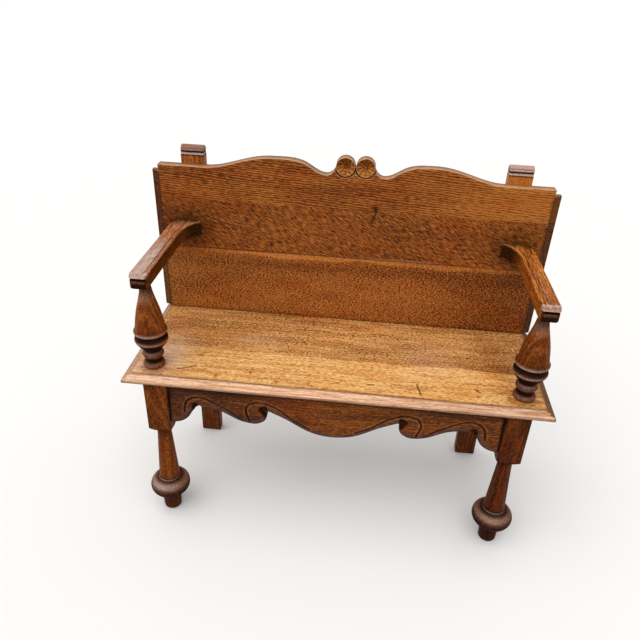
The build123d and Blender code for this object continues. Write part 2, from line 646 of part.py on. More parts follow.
def apron_tenon(clearance=0.0):
    """The apron's right-hand tenon, or the mortise for it with a clearance."""
    middle = APRON_Y + APRON_THICKNESS / 2
    half = TENON_THICKNESS / 2 + clearance
    low = APRON_LOW + ARCH_END_RISE + TENON_SHOULDER - clearance
    high = SEAT_UNDER - TENON_SHOULDER + clearance
    length = (LEG_INNER_X, LEG_INNER_X + tenon_reach(clearance))
    return span(length, (middle - half, middle + half), (low, high))


def side_rail_tenon(which, clearance=0.0):
    """A tenon at the front or rear end of the right-hand side rail, or the mortise for it."""
    half = TENON_THICKNESS / 2 + clearance
    reach = tenon_reach(clearance)
    ends = {"front": (LEG_REAR_Y - reach, LEG_REAR_Y), "rear": (POST_Y, POST_Y + reach)}
    return span((RAIL_X - half, RAIL_X + half), ends[which], rail_tenon_heights(clearance))


def side_rail():
    """The right-hand rail from the front leg to the upright, tenoned at both ends."""
    sides = (RAIL_INNER_X, RAIL_INNER_X + RAIL_THICKNESS)
    rail = span(sides, (LEG_REAR_Y, POST_Y), (RAIL_BOTTOM, SEAT_UNDER))
    return rail + side_rail_tenon("front") + side_rail_tenon("rear")


def rear_rail_tenon(clearance=0.0):
    """The rear rail's right-hand tenon into the upright, or the mortise for it."""
    half = TENON_THICKNESS / 2 + clearance
    middle = POST_Y + RAIL_THICKNESS / 2
    length = (POST_INNER_X, POST_INNER_X + tenon_reach(clearance))
    return span(length, (middle - half, middle + half), rail_tenon_heights(clearance))


def rear_rail():
    """The rail between the uprights that carries the back of the seat."""
    length = (-POST_INNER_X, POST_INNER_X)
    rail = span(length, (POST_Y, SEAT_TONGUE_Y), (RAIL_BOTTOM, SEAT_UNDER))
    tenon = rear_rail_tenon()
    return rail + tenon + left_of(tenon)


def corner_block(which):
    """A right-hand glue block in a corner of the seat frame, drilled for its seat screw."""
    x, y = corner_block_places()[which]
    stick = span(x, y, (SEAT_UNDER - CORNER_BLOCK_HEIGHT, SEAT_UNDER))
    return stick - seat_screw_set(JOINT_CLEARANCE)


def bench():
    """Every piece of the bench under its own name."""
    pieces = {}
    pieces["seat_front_board"], pieces["seat_rear_board"] = seat_boards()
    boards = back_boards()
    for name, board in zip(("back_lower_board", "back_middle_board", "back_crest_board"), boards):
        pieces[name] = board
    pairs = {
        "rear_post": rear_post(),
        "front_leg": front_leg(),
        "arm_support": arm_support(),
        "arm": arm(),
        "side_rail": side_rail(),
        "corner_block_front": corner_block("front"),
        "corner_block_rear": corner_block("rear"),
    }
    for name, piece in pairs.items():
        pieces[name + "_right"] = piece
        pieces[name + "_left"] = left_of(piece)
    pieces["front_apron"] = apron()
    pieces["rear_rail"] = rear_rail()
    pieces["seat_dowels"] = seat_dowel(DOWEL_RADIUS, DOWEL_LENGTH)
    rows = [back_dowel(z, DOWEL_RADIUS, DOWEL_LENGTH).solids() for z in (LOWER_JOINT, UPPER_JOINT)]
    pieces["back_dowels"] = Compound(children=[pin for row in rows for pin in row])
    pieces["back_screws"] = both_sides(back_screw_set())
    pieces["arm_screws"] = both_sides(arm_screw_set())
    pieces["seat_screws"] = both_sides(seat_screw_set())
    return pieces


os.makedirs("parts", exist_ok=True)
for node, shape in bench().items():
    export_step(shape, f"parts/{node}.step")
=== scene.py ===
# %% [markdown]
# # An oak hall bench
# The bench has a boarded seat on two turned legs and two flat uprights, a boarded back, swept arms on
# turned supports and a carved apron. The solid model already gives every piece its place and size. This
# lesson gives the pieces that show their soft arrises, carving and wear, and gives every surface its oak.

# %% Load the solid model
import math

import bmesh
import bpy
import numpy as np
from mathutils import Matrix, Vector
from mathutils.geometry import delaunay_2d_cdt


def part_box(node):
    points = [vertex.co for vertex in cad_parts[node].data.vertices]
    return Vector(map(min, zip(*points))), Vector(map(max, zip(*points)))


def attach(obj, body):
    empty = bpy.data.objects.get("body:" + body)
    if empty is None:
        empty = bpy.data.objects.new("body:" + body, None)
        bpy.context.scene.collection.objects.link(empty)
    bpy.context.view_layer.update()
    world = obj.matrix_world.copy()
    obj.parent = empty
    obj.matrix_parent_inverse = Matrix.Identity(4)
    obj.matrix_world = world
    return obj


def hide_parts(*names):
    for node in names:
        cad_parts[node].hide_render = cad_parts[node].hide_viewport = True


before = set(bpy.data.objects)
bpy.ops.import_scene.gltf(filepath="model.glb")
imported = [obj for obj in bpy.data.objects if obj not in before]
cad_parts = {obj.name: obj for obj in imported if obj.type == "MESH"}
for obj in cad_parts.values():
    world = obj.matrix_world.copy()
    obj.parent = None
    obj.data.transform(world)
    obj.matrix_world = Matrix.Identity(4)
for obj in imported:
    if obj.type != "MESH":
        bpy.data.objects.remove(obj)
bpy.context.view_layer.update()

MM = 0.001
print("solid pieces:", len(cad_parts))

# %% [markdown]
# ## The camera
# The camera stands a little to the right of the middle, at eye height, and looks down at the seat. Its
# place was worked out from the seat's corners in the picture. It could be aimed with a tracking
# constraint, but a matrix built from pitch, roll and yaw also keeps the slight tilt of a hand-held camera.

# %% Camera
IMAGE_PIXELS = 640
FOCAL_PIXELS = 620.992
SENSOR_MM = 36.0
CAMERA_AT = (0.053453, -1.330090, 1.355164)
PITCH, ROLL, YAW = 0.543647, 0.040578, 0.080499

level_right = np.array([math.cos(YAW), math.sin(YAW), 0.0])
level_ahead = np.array([-math.sin(YAW), math.cos(YAW), 0.0])
view_up = math.sin(PITCH) * level_ahead + np.array([0, 0, math.cos(PITCH)])
view_ahead = math.cos(PITCH) * level_ahead - np.array([0, 0, math.sin(PITCH)])
right = math.cos(ROLL) * level_right + math.sin(ROLL) * view_up
up = math.cos(ROLL) * view_up - math.sin(ROLL) * level_right

lens = bpy.data.cameras.new("eye_level_camera")
lens.sensor_width = SENSOR_MM
lens.lens = SENSOR_MM * FOCAL_PIXELS / IMAGE_PIXELS
camera = bpy.data.objects.new("eye_level_camera", lens)
pose = np.eye(4)
pose[:3] = np.column_stack([right, up, -view_ahead, CAMERA_AT])
camera.matrix_world = Matrix(pose.tolist())
bpy.context.collection.objects.link(camera)
bpy.context.scene.camera = camera
print("lens in millimetres:", round(lens.lens, 2))

# %% [markdown]
# ## Colours and nodes
# Colours are picked as sRGB hex values, as in any paint program, but shaders work in linear light, so one
# function converts them. Node trees could be clicked together by hand; a single small function that
# adds a node with its settings and links keeps the recipe readable as text.

# %% Colour and node helpers
def linear(hex_colour):
    """sRGB hex to linear RGBA: each channel is divided by 12.92 near black, and raised to 2.4 above."""
    srgb = np.array([int(hex_colour[i : i + 2], 16) for i in (1, 3, 5)]) / 255
    low, high = srgb / 12.92, ((srgb + 0.055) / 1.055) ** 2.4
    return (*np.where(srgb <= 0.04045, low, high).tolist(), 1.0)


def add(tree, kind, inputs=None, **settings):
    """Adds one shader node, sets its properties, and fills its inputs with values or with other outputs."""
    made = tree.nodes.new("ShaderNode" + kind)
    for key, value in settings.items():
        setattr(made, key, value)
    for socket, value in (inputs or {}).items():
        if isinstance(value, bpy.types.NodeSocket):
            tree.links.new(value, made.inputs[socket])
        else:
            made.inputs[socket].default_value = value
    return made


def empty_tree(block):
    """The block's node tree with nothing in it."""
    block.use_nodes = True
    block.node_tree.nodes.clear()
    return block.node_tree


print("seat gold in linear light:", [round(c, 3) for c in linear("#e3ab66")[:3]])

# %% [markdown]
# ## Floor and light
# The bench stands on a plain pale floor under an even sky, with one broad soft lamp above and to the left,
# so the upward faces are the lightest, as by daylight. A white floor could be lit until it glows, but that
# would bleach the bench. So the floor and the sky look white to the camera and in reflections, and send back
# less light than white would, which keeps the shade under the seat.

# %% Floor, sky and lamp
FLOOR_HALF = 40.0
FLOOR_SEEN, FLOOR_BOUNCE = "#f2f1ef", "#8f8b86"
SKY_STRENGTH = 0.62
LAMP_STRENGTH = 1.9
LAMP_SPREAD = 1.3
LAMP_TILT = (0.42, -0.25, 0.0)


def seen_directly(tree):
    """1 for a ray from the camera, a reflection or glass, and 0 for light on its way round the room."""
    rays = add(tree, "LightPath").outputs
    seen = rays["Is Camera Ray"]
    for kind in ("Is Glossy Ray", "Is Transmission Ray"):
        seen = add(tree, "Math", {0: seen, 1: rays[kind]}, operation="MAXIMUM").outputs[0]
    return seen


floor_mesh = bpy.data.meshes.new("pale_floor")
corners = np.array([[-1, -1, 0], [1, -1, 0], [1, 1, 0], [-1, 1, 0]]) * FLOOR_HALF
floor_mesh.from_pydata(corners.tolist(), [], [[0, 1, 2, 3]])
floor = bpy.data.objects.new("pale_floor", floor_mesh)
bpy.context.collection.objects.link(floor)

# Matt emulsion on a smooth floor: an even pale ground, with nothing on it but the bench's soft shadow.
floor_paint = bpy.data.materials.new("matt_floor_paint")
tree = empty_tree(floor_paint)
shades = {0: seen_directly(tree), 6: linear(FLOOR_BOUNCE), 7: linear(FLOOR_SEEN)}
tone = add(tree, "Mix", shades, data_type="RGBA")
matt = add(tree, "BsdfDiffuse", {"Color": tone.outputs[2]})
add(tree, "OutputMaterial", {"Surface": matt.outputs[0]})
floor_mesh.materials.append(floor_paint)

sky = bpy.data.worlds.new("even_sky")
bpy.context.scene.world = sky
tree = empty_tree(sky)
power = add(tree, "MapRange", {0: seen_directly(tree), 3: SKY_STRENGTH, 4: 1.0})
glow = add(tree, "Background", {"Color": linear("#ffffff"), "Strength": power.outputs[0]})
add(tree, "OutputWorld", {"Surface": glow.outputs[0]})

lamp_data = bpy.data.lights.new("broad_lamp", "SUN")
lamp_data.energy = LAMP_STRENGTH
lamp_data.angle = LAMP_SPREAD
lamp = bpy.data.objects.new("broad_lamp", lamp_data)
lamp.rotation_euler = LAMP_TILT
bpy.context.collection.objects.link(lamp)
bpy.context.scene.view_settings.view_transform = "Standard"
print("floor is", 2 * FLOOR_HALF, "m across; lamp", LAMP_STRENGTH, "W per square metre")

# %% [markdown]
# ## Oak
# Oak is ring-porous: each year leaves a band of open pores, so a planed board shows dark dashes along the
# grain, growth rings as lines or arches, and on quarter-cut faces pale flecks across the grain. An old
# waxed bench adds dark wax in the hollows and bare, greyed wood on the arrises. A photograph could be
# wrapped round the pieces, but noise stretched along the grain has no seams and fits every side. The real
# pores are 0.3 mm wide, too fine for the picture, so the dashes here are drawn a few times coarser.

# %% Oak recipe
GRAIN_TURN = {"x": (0, 0, 0), "y": (0, 0, -math.pi / 2), "z": (0, math.pi / 2, 0)}
OAK_IOR = 1.47
# Slow patterns as (length, width) in millimetres: cloudy patches, the sway of the rings, and warm patches.
CLOUD, SWAY, WARM = (260, 60), (420, 45), (150, 55)
SWAY_BY, WARM_MOST = 24 * MM, 0.42
# The height of the noise at which a pore begins, and at which it is fully open.
PORE_FROM, PORE_FULL = 0.55, 0.70
PORE_RELIEF, GRAIN_RELIEF, WAX_ROUGHNESS = 0.6, 0.5 * MM, 0.28
# The wave texture has this many rings in a distance of 2 pi at a scale of 1.
RINGS_PER_TURN = 20


def per_metre(along, across):
    """Mapping scale for a pattern that is so many millimetres long and wide, with the grain on X."""
    return (1 / (along * MM), 1 / (across * MM), 1 / (across * MM))


def oak(
    name,
    shades,
    grain,
    glow,
    weights,
    streak=(70, 2.6),
    grit=(8, 2.2),
    ring=7.0,
    pith=(0.0, 0.25, 0.10),
    tilt=(0, 0, 0),
    mirrored=False,
    fleck=((10, 2.2), -38),
    pore=(11, 1.6),
    pore_depth=0.30,
    threads=0.30,
    wear_and_highlight="#c9a58c",
    dirt_and_shade="#140a05",
    roughness=(0.40, 0.62),
    sheen=0.12,
    wax=0.04,
):
    """A waxed oak: tone = a sum of streaks, rings, slow patches, fine grit and flecks, each by its weight,
    less the pores; it picks a colour between three shades, warmed in slow patches by a glow. A mirrored oak
    has its rings alike on both sides of the middle. The pale mark then lays bare wood with darker threads
    over it, which also stands for painted highlights and sheen, and the dark mark lays dark wax, which also
    stands for painted shade, and takes most of the sheen."""
    material = bpy.data.materials.new(name)
    tree = empty_tree(material)
    place = add(tree, "TexCoord").outputs["Object"]
    along = add(tree, "Mapping", {"Vector": place, "Rotation": GRAIN_TURN[grain]}).outputs[0]

    def stretched(size, turn=0.0, detail=4.0, seed=0.0):
        turned_to = {"Vector": along, "Rotation": (0, turn, 0), "Location": (seed, seed, seed)}
        turned_to = add(tree, "Mapping", turned_to).outputs[0]
        scaled = add(tree, "Mapping", {"Vector": turned_to, "Scale": per_metre(*size)}).outputs[0]
        inputs = {"Vector": scaled, "Scale": 1.0, "Detail": detail, "Roughness": 0.6}
        return add(tree, "TexNoise", inputs).outputs[0]

    streaks = stretched(streak)
    patches = stretched(CLOUD, detail=2.0)
    sway = add(tree, "Math", {0: stretched(SWAY, detail=2.0), 1: SWAY_BY}, operation="MULTIPLY").outputs[0]
    heart = along
    if mirrored:
        heart = add(tree, "VectorMath", {0: along}, operation="ABSOLUTE").outputs[0]
    centred = add(tree, "Mapping", {"Vector": heart, "Location": pith, "Rotation": tilt}).outputs[0]
    swayed = add(tree, "VectorMath", {0: centred, 1: sway}, operation="ADD").outputs[0]
    ring_scale = 2 * math.pi / (RINGS_PER_TURN * ring * MM)
    wave_inputs = {"Vector": swayed, "Scale": ring_scale, "Distortion": 2.6, "Detail": 3.0}
    wave_inputs |= {"Detail Scale": 0.6}
    rings = add(tree, "TexWave", wave_inputs, wave_type="RINGS", rings_direction="X").outputs["Fac"]
    dashes = stretched(pore, detail=2.0, seed=3.0)
    open_pores = {0: dashes, 1: PORE_FROM, 2: PORE_FULL}
    pores = add(tree, "MapRange", open_pores, interpolation_type="SMOOTHSTEP").outputs[0]
    flecks = stretched(fleck[0], turn=math.radians(fleck[1]), detail=2.0, seed=1.0)
    grains = stretched(grit, detail=2.0, seed=2.0)

    tint = add(tree, "Attribute", attribute_name="tint").outputs["Fac"]
    parts = [part for part in zip((streaks, rings, patches, grains, flecks), weights) if part[1]]
    level = add(tree, "Math", {0: tint, 1: 0.5 - sum(w for _, w in parts) / 2}, operation="ADD").outputs[0]
    for pattern, weight in parts:
        level = add(tree, "Math", {0: pattern, 1: weight, 2: level}, operation="MULTIPLY_ADD").outputs[0]
    level = add(tree, "Math", {0: pores, 1: -pore_depth, 2: level}, operation="MULTIPLY_ADD").outputs[0]
    ramp = add(tree, "ValToRGB", {0: level})
    stops = ramp.color_ramp.elements
    stops[0].position, stops[1].position = 0.05, 0.95
    stops[0].color, stops[1].color = linear(shades[0]), linear(shades[2])
    stops.new(0.5).color = linear(shades[1])
    warmth = {0: stretched(WARM, detail=3.0, seed=4.0), 1: 0.48, 2: 0.68, 4: WARM_MOST}
    warmth = add(tree, "MapRange", warmth, interpolation_type="SMOOTHSTEP").outputs[0]
    tones = {0: warmth, 6: ramp.outputs[0], 7: linear(glow)}
    warm = add(tree, "Mix", tones, data_type="RGBA", blend_type="MULTIPLY")

    bare_and_lit = add(tree, "Attribute", attribute_name="wear_and_highlight").outputs["Fac"]
    rubbed_and_lit = add(tree, "MapRange", {0: grains, 1: 0.30, 2: 0.60, 3: 0.40, 4: 1.0}).outputs[0]
    rubbed_and_lit = add(tree, "Math", {0: bare_and_lit, 1: rubbed_and_lit}, operation="MULTIPLY").outputs[0]
    fade = add(tree, "MapRange", {0: streaks, 1: 0.40, 2: 0.58, 3: threads, 4: 0.0}).outputs[0]
    bare_wood = {0: fade, 6: linear(wear_and_highlight), 7: linear(shades[0])}
    bare_wood = add(tree, "Mix", bare_wood, data_type="RGBA").outputs[2]
    lit = add(tree, "Mix", {0: rubbed_and_lit, 6: warm.outputs[2], 7: bare_wood}, data_type="RGBA").outputs[2]
    dirt_and_shade_mark = add(tree, "Attribute", attribute_name="dirt_and_shade").outputs["Fac"]
    final = add(tree, "Mix", {0: dirt_and_shade_mark, 6: lit, 7: linear(dirt_and_shade)}, data_type="RGBA").outputs[2]

    gloss = add(tree, "MapRange", {0: streaks, 1: 0.3, 2: 0.7, 3: roughness[1], 4: roughness[0]}).outputs[0]
    relief = {0: pores, 1: -PORE_RELIEF, 2: grains}
    relief = add(tree, "Math", relief, operation="MULTIPLY_ADD").outputs[0]
    bump = add(tree, "Bump", {"Strength": 0.4, "Distance": GRAIN_RELIEF, "Height": relief}).outputs[0]
    shine = add(tree, "MapRange", {0: dirt_and_shade_mark, 3: sheen, 4: 0.1 * sheen}).outputs[0]
    inputs = {"Base Color": final, "Roughness": gloss, "IOR": OAK_IOR, "Normal": bump}
    inputs |= {"Specular IOR Level": shine, "Coat Weight": wax, "Coat Roughness": WAX_ROUGHNESS}
    shader = add(tree, "BsdfPrincipled", inputs)
    add(tree, "OutputMaterial", {"Surface": shader.outputs[0]})
    return material


print("pores of 11 by 1.6 mm repeat per metre:", [round(count) for count in per_metre(11, 1.6)])

# %% [markdown]
# ## The oaks of this bench
# The pieces were cut from different boards and have aged apart: the seat is rubbed to a golden honey, the
# back is an orange brown, the turned work is nearly black in its hollows. One oak with a tint for each piece
# would be simpler, but the boards also differ in figure: some were sawn along the rings and some across. So
# each gets its own shades and patterns from the one recipe, with the grain along its length.

# %% Oak for each piece
# Each row gives the shades from dark to pale, the grain's direction, the glow and the weights of streaks,
# rings, patches, grit and flecks; sizes are (along, across) in millimetres.
OAKS = {
    # Planed, then rubbed by coats and hands: light gold, open dark pores, and pink along the edge, where the
    # bevel is worn and carries a painted sheen.
    "seat_front": oak(
        "golden_oak", ("#a8682a", "#e6ac66", "#fbd592"), "x", "#ffdfae", (1.2, 0.22, 0.6, 2.0, 0),
        grit=(10, 2.8), pore=(10, 2.4), pore_depth=0.7, sheen=0.14, threads=0.75,
        wear_and_highlight="#f1cab3", dirt_and_shade="#481a0a",
    ),
    # The same wax with less rubbing: a deeper honey with broken grain and a soft shine.
    "seat_rear": oak(
        "honey_oak", ("#744016", "#c48748", "#ecb878"), "x", "#ffd9a0", (1.1, 0.2, 0.8, 3.0, 0),
        grit=(6.5, 2.6), pore=(9, 2.6), pore_depth=0.7, pith=(0, 0.1, 0.4), sheen=0.22,
        wear_and_highlight="#dcb090", dirt_and_shade="#481a0a",
    ),
    # A plain-sawn board: long soft rings, nearly straight, in a warm brown.
    "crest": oak(
        "brown_crest_oak", ("#481c05", "#8a4817", "#c47b34"), "x", "#ffc98a", (1.0, 0.55, 0.8, 1.9, 0),
        grit=(14, 2.6), ring=5.5, pith=(0, 0, -1.3), tilt=(0, -0.06, 0), wear_and_highlight="#d2a67c",
    ),
    # A quarter-sawn board: slanting pale flecks that cross the grain, hardly any rings.
    "middle": oak(
        "quartered_oak", ("#3c1a07", "#804216", "#bf7330"), "x", "#ffcf90", (0.4, 0.0, 0.5, 1.0, 4.2),
        grit=(5, 1.6), fleck=((17, 1.7), -28), wear_and_highlight="#b98a62",
    ),
    # A short-grained board in the shade of the arms: a fine salt-and-pepper grit.
    "lower": oak(
        "dark_back_oak", ("#431c07", "#894719", "#d4883f"), "x", "#ffc488", (0.5, 0.0, 0.45, 4.3, 0.3),
        streak=(34, 2.4), grit=(5, 1.6), fleck=((8, 2.2), 60), wear_and_highlight="#b98a62",
    ),
    # Upright boards with dusty caps: orange brown, grey on the caps, dusty and painted as lit from above.
    "post": oak(
        "upright_oak", ("#3f1a06", "#8a481a", "#cc7a34"), "z", "#ffc88c", (1.0, 0.15, 0.6, 1.4, 0),
        wear_and_highlight="#c6b2aa",
    ),
    # Turned on the lathe: arches where the rings run out, almost black in the coves, little shine.
    "turned": oak(
        "turned_oak", ("#2a1003", "#78390b", "#b86a2a"), "z", "#ffb878", (0.6, 0.22, 0.7, 1.1, 0),
        ring=8, pith=(0, -0.12, -0.42), tilt=(0, 0.05, 0.04), mirrored=True, wear_and_highlight="#c0a08c", sheen=0.07,
    ),
    # The same turning from a coarser piece: speckled, greyed on the bulb by a painted highlight.
    "leg": oak(
        "leg_oak", ("#2a1003", "#74370b", "#a9601f"), "z", "#ffb878", (0.3, 0.22, 0.5, 1.8, 0),
        grit=(5, 2.4), ring=8, pith=(0, -0.12, -0.42), tilt=(0, 0.12, 0.08), mirrored=True,
        wear_and_highlight="#cbb9b2", dirt_and_shade="#1a0b09", sheen=0.07,
    ),
    # Handled every day: a clear orange under the wax, pale and dry where it has gone, with a painted sheen
    # there.
    "arm": oak(
        "arm_oak", ("#4a1f06", "#a05612", "#dd8b36"), "y", "#ffc488", (1.3, 0.18, 0.5, 1.8, 0),
        grit=(16, 2.4), wear_and_highlight="#cdb3a6", pore_depth=0.4,
    ),
    # Carved and never planed again: dark, with short flecks and old wax.
    "apron": oak(
        "carved_oak", ("#261004", "#683310", "#b06a26"), "x", "#ffb274", (0.9, 0.12, 0.9, 1.5, 0.5),
        streak=(60, 3.2), grit=(9, 2.2), fleck=((15, 2.8), 20), wear_and_highlight="#94746a",
    ),
}
# Sawn and left bare under the seat: dull, dry and even.
for key, name, grain in (("frame", "plain_frame_oak", "x"), ("side", "plain_rail_oak", "y")):
    dull_shades, dull_weights = ("#3a1e0c", "#6c3f1d", "#935d30"), (1.0, 0.2, 0.6, 1.2, 0)
    OAKS[key] = oak(name, dull_shades, grain, "#ffd0a0", dull_weights, roughness=(0.6, 0.8))
print("oaks:", ", ".join(material.name for material in OAKS.values()))

# %% [markdown]
# ## Welding surfaces into a piece
# A board or a turning can be written as a few grids of points that meet at their edges. Blender needs one
# closed skin. A boolean could join the grids, but it needs solids and cuts new edges; here they are put into
# one mesh, their shared edges are welded, and the faces are turned outwards. Every point also carries three
# marks that the oak reads: how worn it is, with painted highlights; how grimy, with painted shade; and how
# pale it is.

# %% Mesh helpers
WELD = 0.002 * MM
SHARP = math.radians(38)
# Wear with painted highlights, dirt with painted shade, and tint.
MARKS = ("wear_and_highlight", "dirt_and_shade", "tint")


def grid_faces(rows, columns, wrap=False):
    """Quads between neighbours of a grid numbered row by row; wrap joins the last column to the first."""
    row = np.arange(rows - 1)[:, None] * columns
    column = np.arange(columns if wrap else columns - 1)[None, :]
    after = (column + 1) % columns
    quads = [row + column, row + after, row + columns + after, row + columns + column]
    return np.stack(np.broadcast_arrays(*quads), axis=-1).reshape(-1, 4)


def marks(count, wear_and_highlight=0.0, dirt_and_shade=0.0, tint=0.0):
    """The three marks of so many points, side by side."""
    return np.stack(np.broadcast_arrays(np.zeros(count), wear_and_highlight, dirt_and_shade, tint)[1:], axis=-1)


def make_piece(name, patches, material, node):
    """One closed mesh in place of a node, from patches of (points in mm, faces, marks) whose edges meet."""
    starts = np.cumsum([0] + [len(points) for points, _, _ in patches])
    faces = [face for start, patch in zip(starts, patches) for face in (patch[1] + start).tolist()]
    mesh = bpy.data.meshes.new(name)
    mesh.from_pydata((np.concatenate([patch[0] for patch in patches]) * MM).tolist(), [], faces)
    all_marks = np.concatenate([patch[2] for patch in patches])
    for column, mark in enumerate(MARKS):
        layer = mesh.attributes.new(mark, "FLOAT", "POINT")
        layer.data.foreach_set("value", all_marks[:, column].astype(np.float32))
    skin = bmesh.new()
    skin.from_mesh(mesh)
    bmesh.ops.remove_doubles(skin, verts=skin.verts, dist=WELD)
    bmesh.ops.recalc_face_normals(skin, faces=skin.faces)
    open_edges = sum(not edge.is_manifold for edge in skin.edges)
    skin.to_mesh(mesh)
    skin.free()
    mesh.polygons.foreach_set("use_smooth", np.ones(len(mesh.polygons), bool))
    mesh.set_sharp_from_angle(angle=SHARP)
    mesh.materials.append(material)
    piece = bpy.data.objects.new(name, mesh)
    bpy.context.collection.objects.link(piece)
    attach(piece, "root")
    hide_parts(node)
    print(name, "faces", len(mesh.polygons), "open edges", open_edges)
    return piece


# %% [markdown]
# ## Curves
# The outlines are drawn as a joiner draws them: straight runs, arcs through three points, and smooth curves
# through a few marks with a chosen direction at each end. Blender has curve objects for this, but plain
# arrays of points can go straight into the surfaces that follow.

# %% Curve helpers
def arc(a, b, c, count=24):
    """Points on the circle through a, b and c: its centre is as far from each, and the angle runs evenly."""
    a, b, c = (np.array(p, float) for p in (a, b, c))
    centre = np.linalg.solve(2 * np.array([b - a, c - a]), [b @ b - a @ a, c @ c - a @ a])
    angles = [math.atan2(*(p - centre)[::-1]) for p in (a, b, c)]
    turn = (angles[2] - angles[0]) % (2 * math.pi)
    if (angles[1] - angles[0]) % (2 * math.pi) > turn:
        turn -= 2 * math.pi
    angle = angles[0] + np.linspace(0, turn, count)
    return centre + np.hypot(*(a - centre)) * np.stack([np.cos(angle), np.sin(angle)], axis=-1)


def smooth(points, start=None, end=None, count=40):
    """Cubic pieces through the points: slopes are solved so that the bend is continuous, and the end slopes
    are unit vectors along start and end, or free."""
    points = np.array(points, float)
    gaps = np.hypot(*np.diff(points, axis=0).T)
    knots = np.concatenate([[0], np.cumsum(gaps)])
    rises = np.diff(points, axis=0) / gaps[:, None]
    size = len(points)
    system, wanted = np.zeros((size, size)), np.zeros((size, 2))
    inner = np.arange(1, size - 1)
    system[inner, inner - 1] = 1 / gaps[:-1]
    system[inner, inner + 1] = 1 / gaps[1:]
    system[inner, inner] = 2 / gaps[:-1] + 2 / gaps[1:]
    wanted[inner] = 3 * (rises[:-1] / gaps[:-1, None] + rises[1:] / gaps[1:, None])
    for at, beside, way, rise in ((0, 1, start, rises[0]), (size - 1, size - 2, end, rises[-1])):
        system[at, at] = 1 if way is not None else 2
        system[at, beside] = 0 if way is not None else 1
        wanted[at] = np.array(way) / np.hypot(*way) if way is not None else 3 * rise
    slopes = np.linalg.solve(system, wanted)
    place = np.linspace(0, knots[-1], count)
    piece = np.clip(np.searchsorted(knots, place, side="right") - 1, 0, size - 2)
    gap = gaps[piece][:, None]
    t = (place - knots[piece])[:, None] / gap
    a, b = points[piece], points[piece + 1]
    hermite = (1 + 2 * t) * (1 - t) ** 2 * a + t**2 * (3 - 2 * t) * b
    return hermite + gap * (t * (1 - t) ** 2 * slopes[piece] - t**2 * (1 - t) * slopes[piece + 1])


def joined(*paths):
    """Paths end to end as one array, without the points that two of them share."""
    path = np.concatenate([np.array(p, float) for p in paths])
    fresh = np.concatenate([[True], np.hypot(*np.diff(path, axis=0).T) > 1e-6])
    return path[fresh]


def stepped(path, step):
    """A path with extra points on its long straight runs, so that no gap is wider than the step."""
    gaps = np.maximum(1, np.ceil(np.hypot(*np.diff(path, axis=0).T) / step)).astype(int)
    place = np.concatenate([i + np.arange(n) / n for i, n in enumerate(gaps)] + [[len(path) - 1]])
    return np.stack([np.interp(place, np.arange(len(path)), path[:, k]) for k in (0, 1)], axis=-1)


def distance_to(points, path):
    """Distance from each point to a path: the least distance to any of its straight pieces."""
    least = np.full(len(points), np.inf)
    for a, b in zip(path[:-1], path[1:]):
        along = b - a
        share = np.clip((points - a) @ along / (along @ along), 0, 1)
        least = np.minimum(least, np.hypot(*(points - a - share[:, None] * along).T))
    return least


def bell_curve(distance, width):
    """1 on a line, falling smoothly to nothing about two widths away."""
    return np.exp(-((distance / width) ** 2))


quarter = arc((10, 0), (math.sqrt(50), math.sqrt(50)), (0, 10))
print("a quarter circle of 10 mm is", round(np.hypot(*np.diff(quarter, axis=0).T).sum(), 2), "mm long")

# %% [markdown]
# ## Boards with soft arrises
# A sawn board is an outline with a thickness, but a solid with razor edges looks false: hands and brooms
# round every arris. So the face is filled with a net of triangles, pressed in by a relief, and a rounded
# band of rows carries it over the edge to the back. A bevel modifier could round the edges too, but it
# knows nothing of the carving, and it can't mark the rounded band as worn.

# %% Board surface
ARRIS_ROWS = 4
# A net keeps this share of its spacing from the lines that the triangles follow.
NET_CLEAR = 0.4
# delaunay_2d_cdt's way of leaving out what lies outside the outline, and its smallest gap.
INSIDE_ONLY, SMALLEST_GAP = 1, 1e-6


def inside(points, outline):
    """Even-odd test: a point is inside if a line from it to the right crosses the outline an odd number of
    times."""
    x, y = points.T
    odd = np.zeros(len(points), bool)
    for (x0, y0), (x1, y1) in zip(outline, np.roll(outline, -1, axis=0)):
        if y0 != y1:
            odd ^= ((y0 > y) != (y1 > y)) & (x < x0 + (x1 - x0) * (y - y0) / (y1 - y0))
    return odd


def filled(outline, lines, nets):
    """Triangles inside an outline, with lines to follow and nets of points (x0, y0, x1, y1, dx, dy) between
    them; a net leaves out what the nets before it have covered, so the finer ones come first."""
    closed = np.concatenate([outline, outline[:1]])
    groups, used = [outline, *lines], []
    for x0, y0, x1, y1, dx, dy in nets:
        net = np.stack(np.meshgrid(np.arange(x0, x1, dx), np.arange(y0, y1, dy)), axis=-1).reshape(-1, 2)
        for box in used:
            net = net[~np.all((net > box[:2]) & (net < box[2:]), axis=1)]
        net = net[inside(net, outline)]
        near = NET_CLEAR * min(dx, dy)
        for line in [closed, *lines]:
            net = net[distance_to(net, line) > near]
        groups.append(net)
        used.append(np.array([x0 - dx / 4, y0 - dy / 4, x1 - dx / 2, y1 - dy / 2]))
    starts = np.cumsum([0] + [len(group) for group in groups])
    ring = np.arange(len(outline))
    edges = [np.stack([ring, np.roll(ring, -1)], axis=-1)]
    for start, line in zip(starts[1:], lines):
        step = start + np.arange(len(line) - 1)
        edges.append(np.stack([step, step + 1], axis=-1))
    spread, edges = np.concatenate(groups).tolist(), np.concatenate(edges).tolist()
    points, _, triangles, *_ = delaunay_2d_cdt(spread, edges, [], INSIDE_ONLY, SMALLEST_GAP)
    return np.array(points), np.array(triangles)


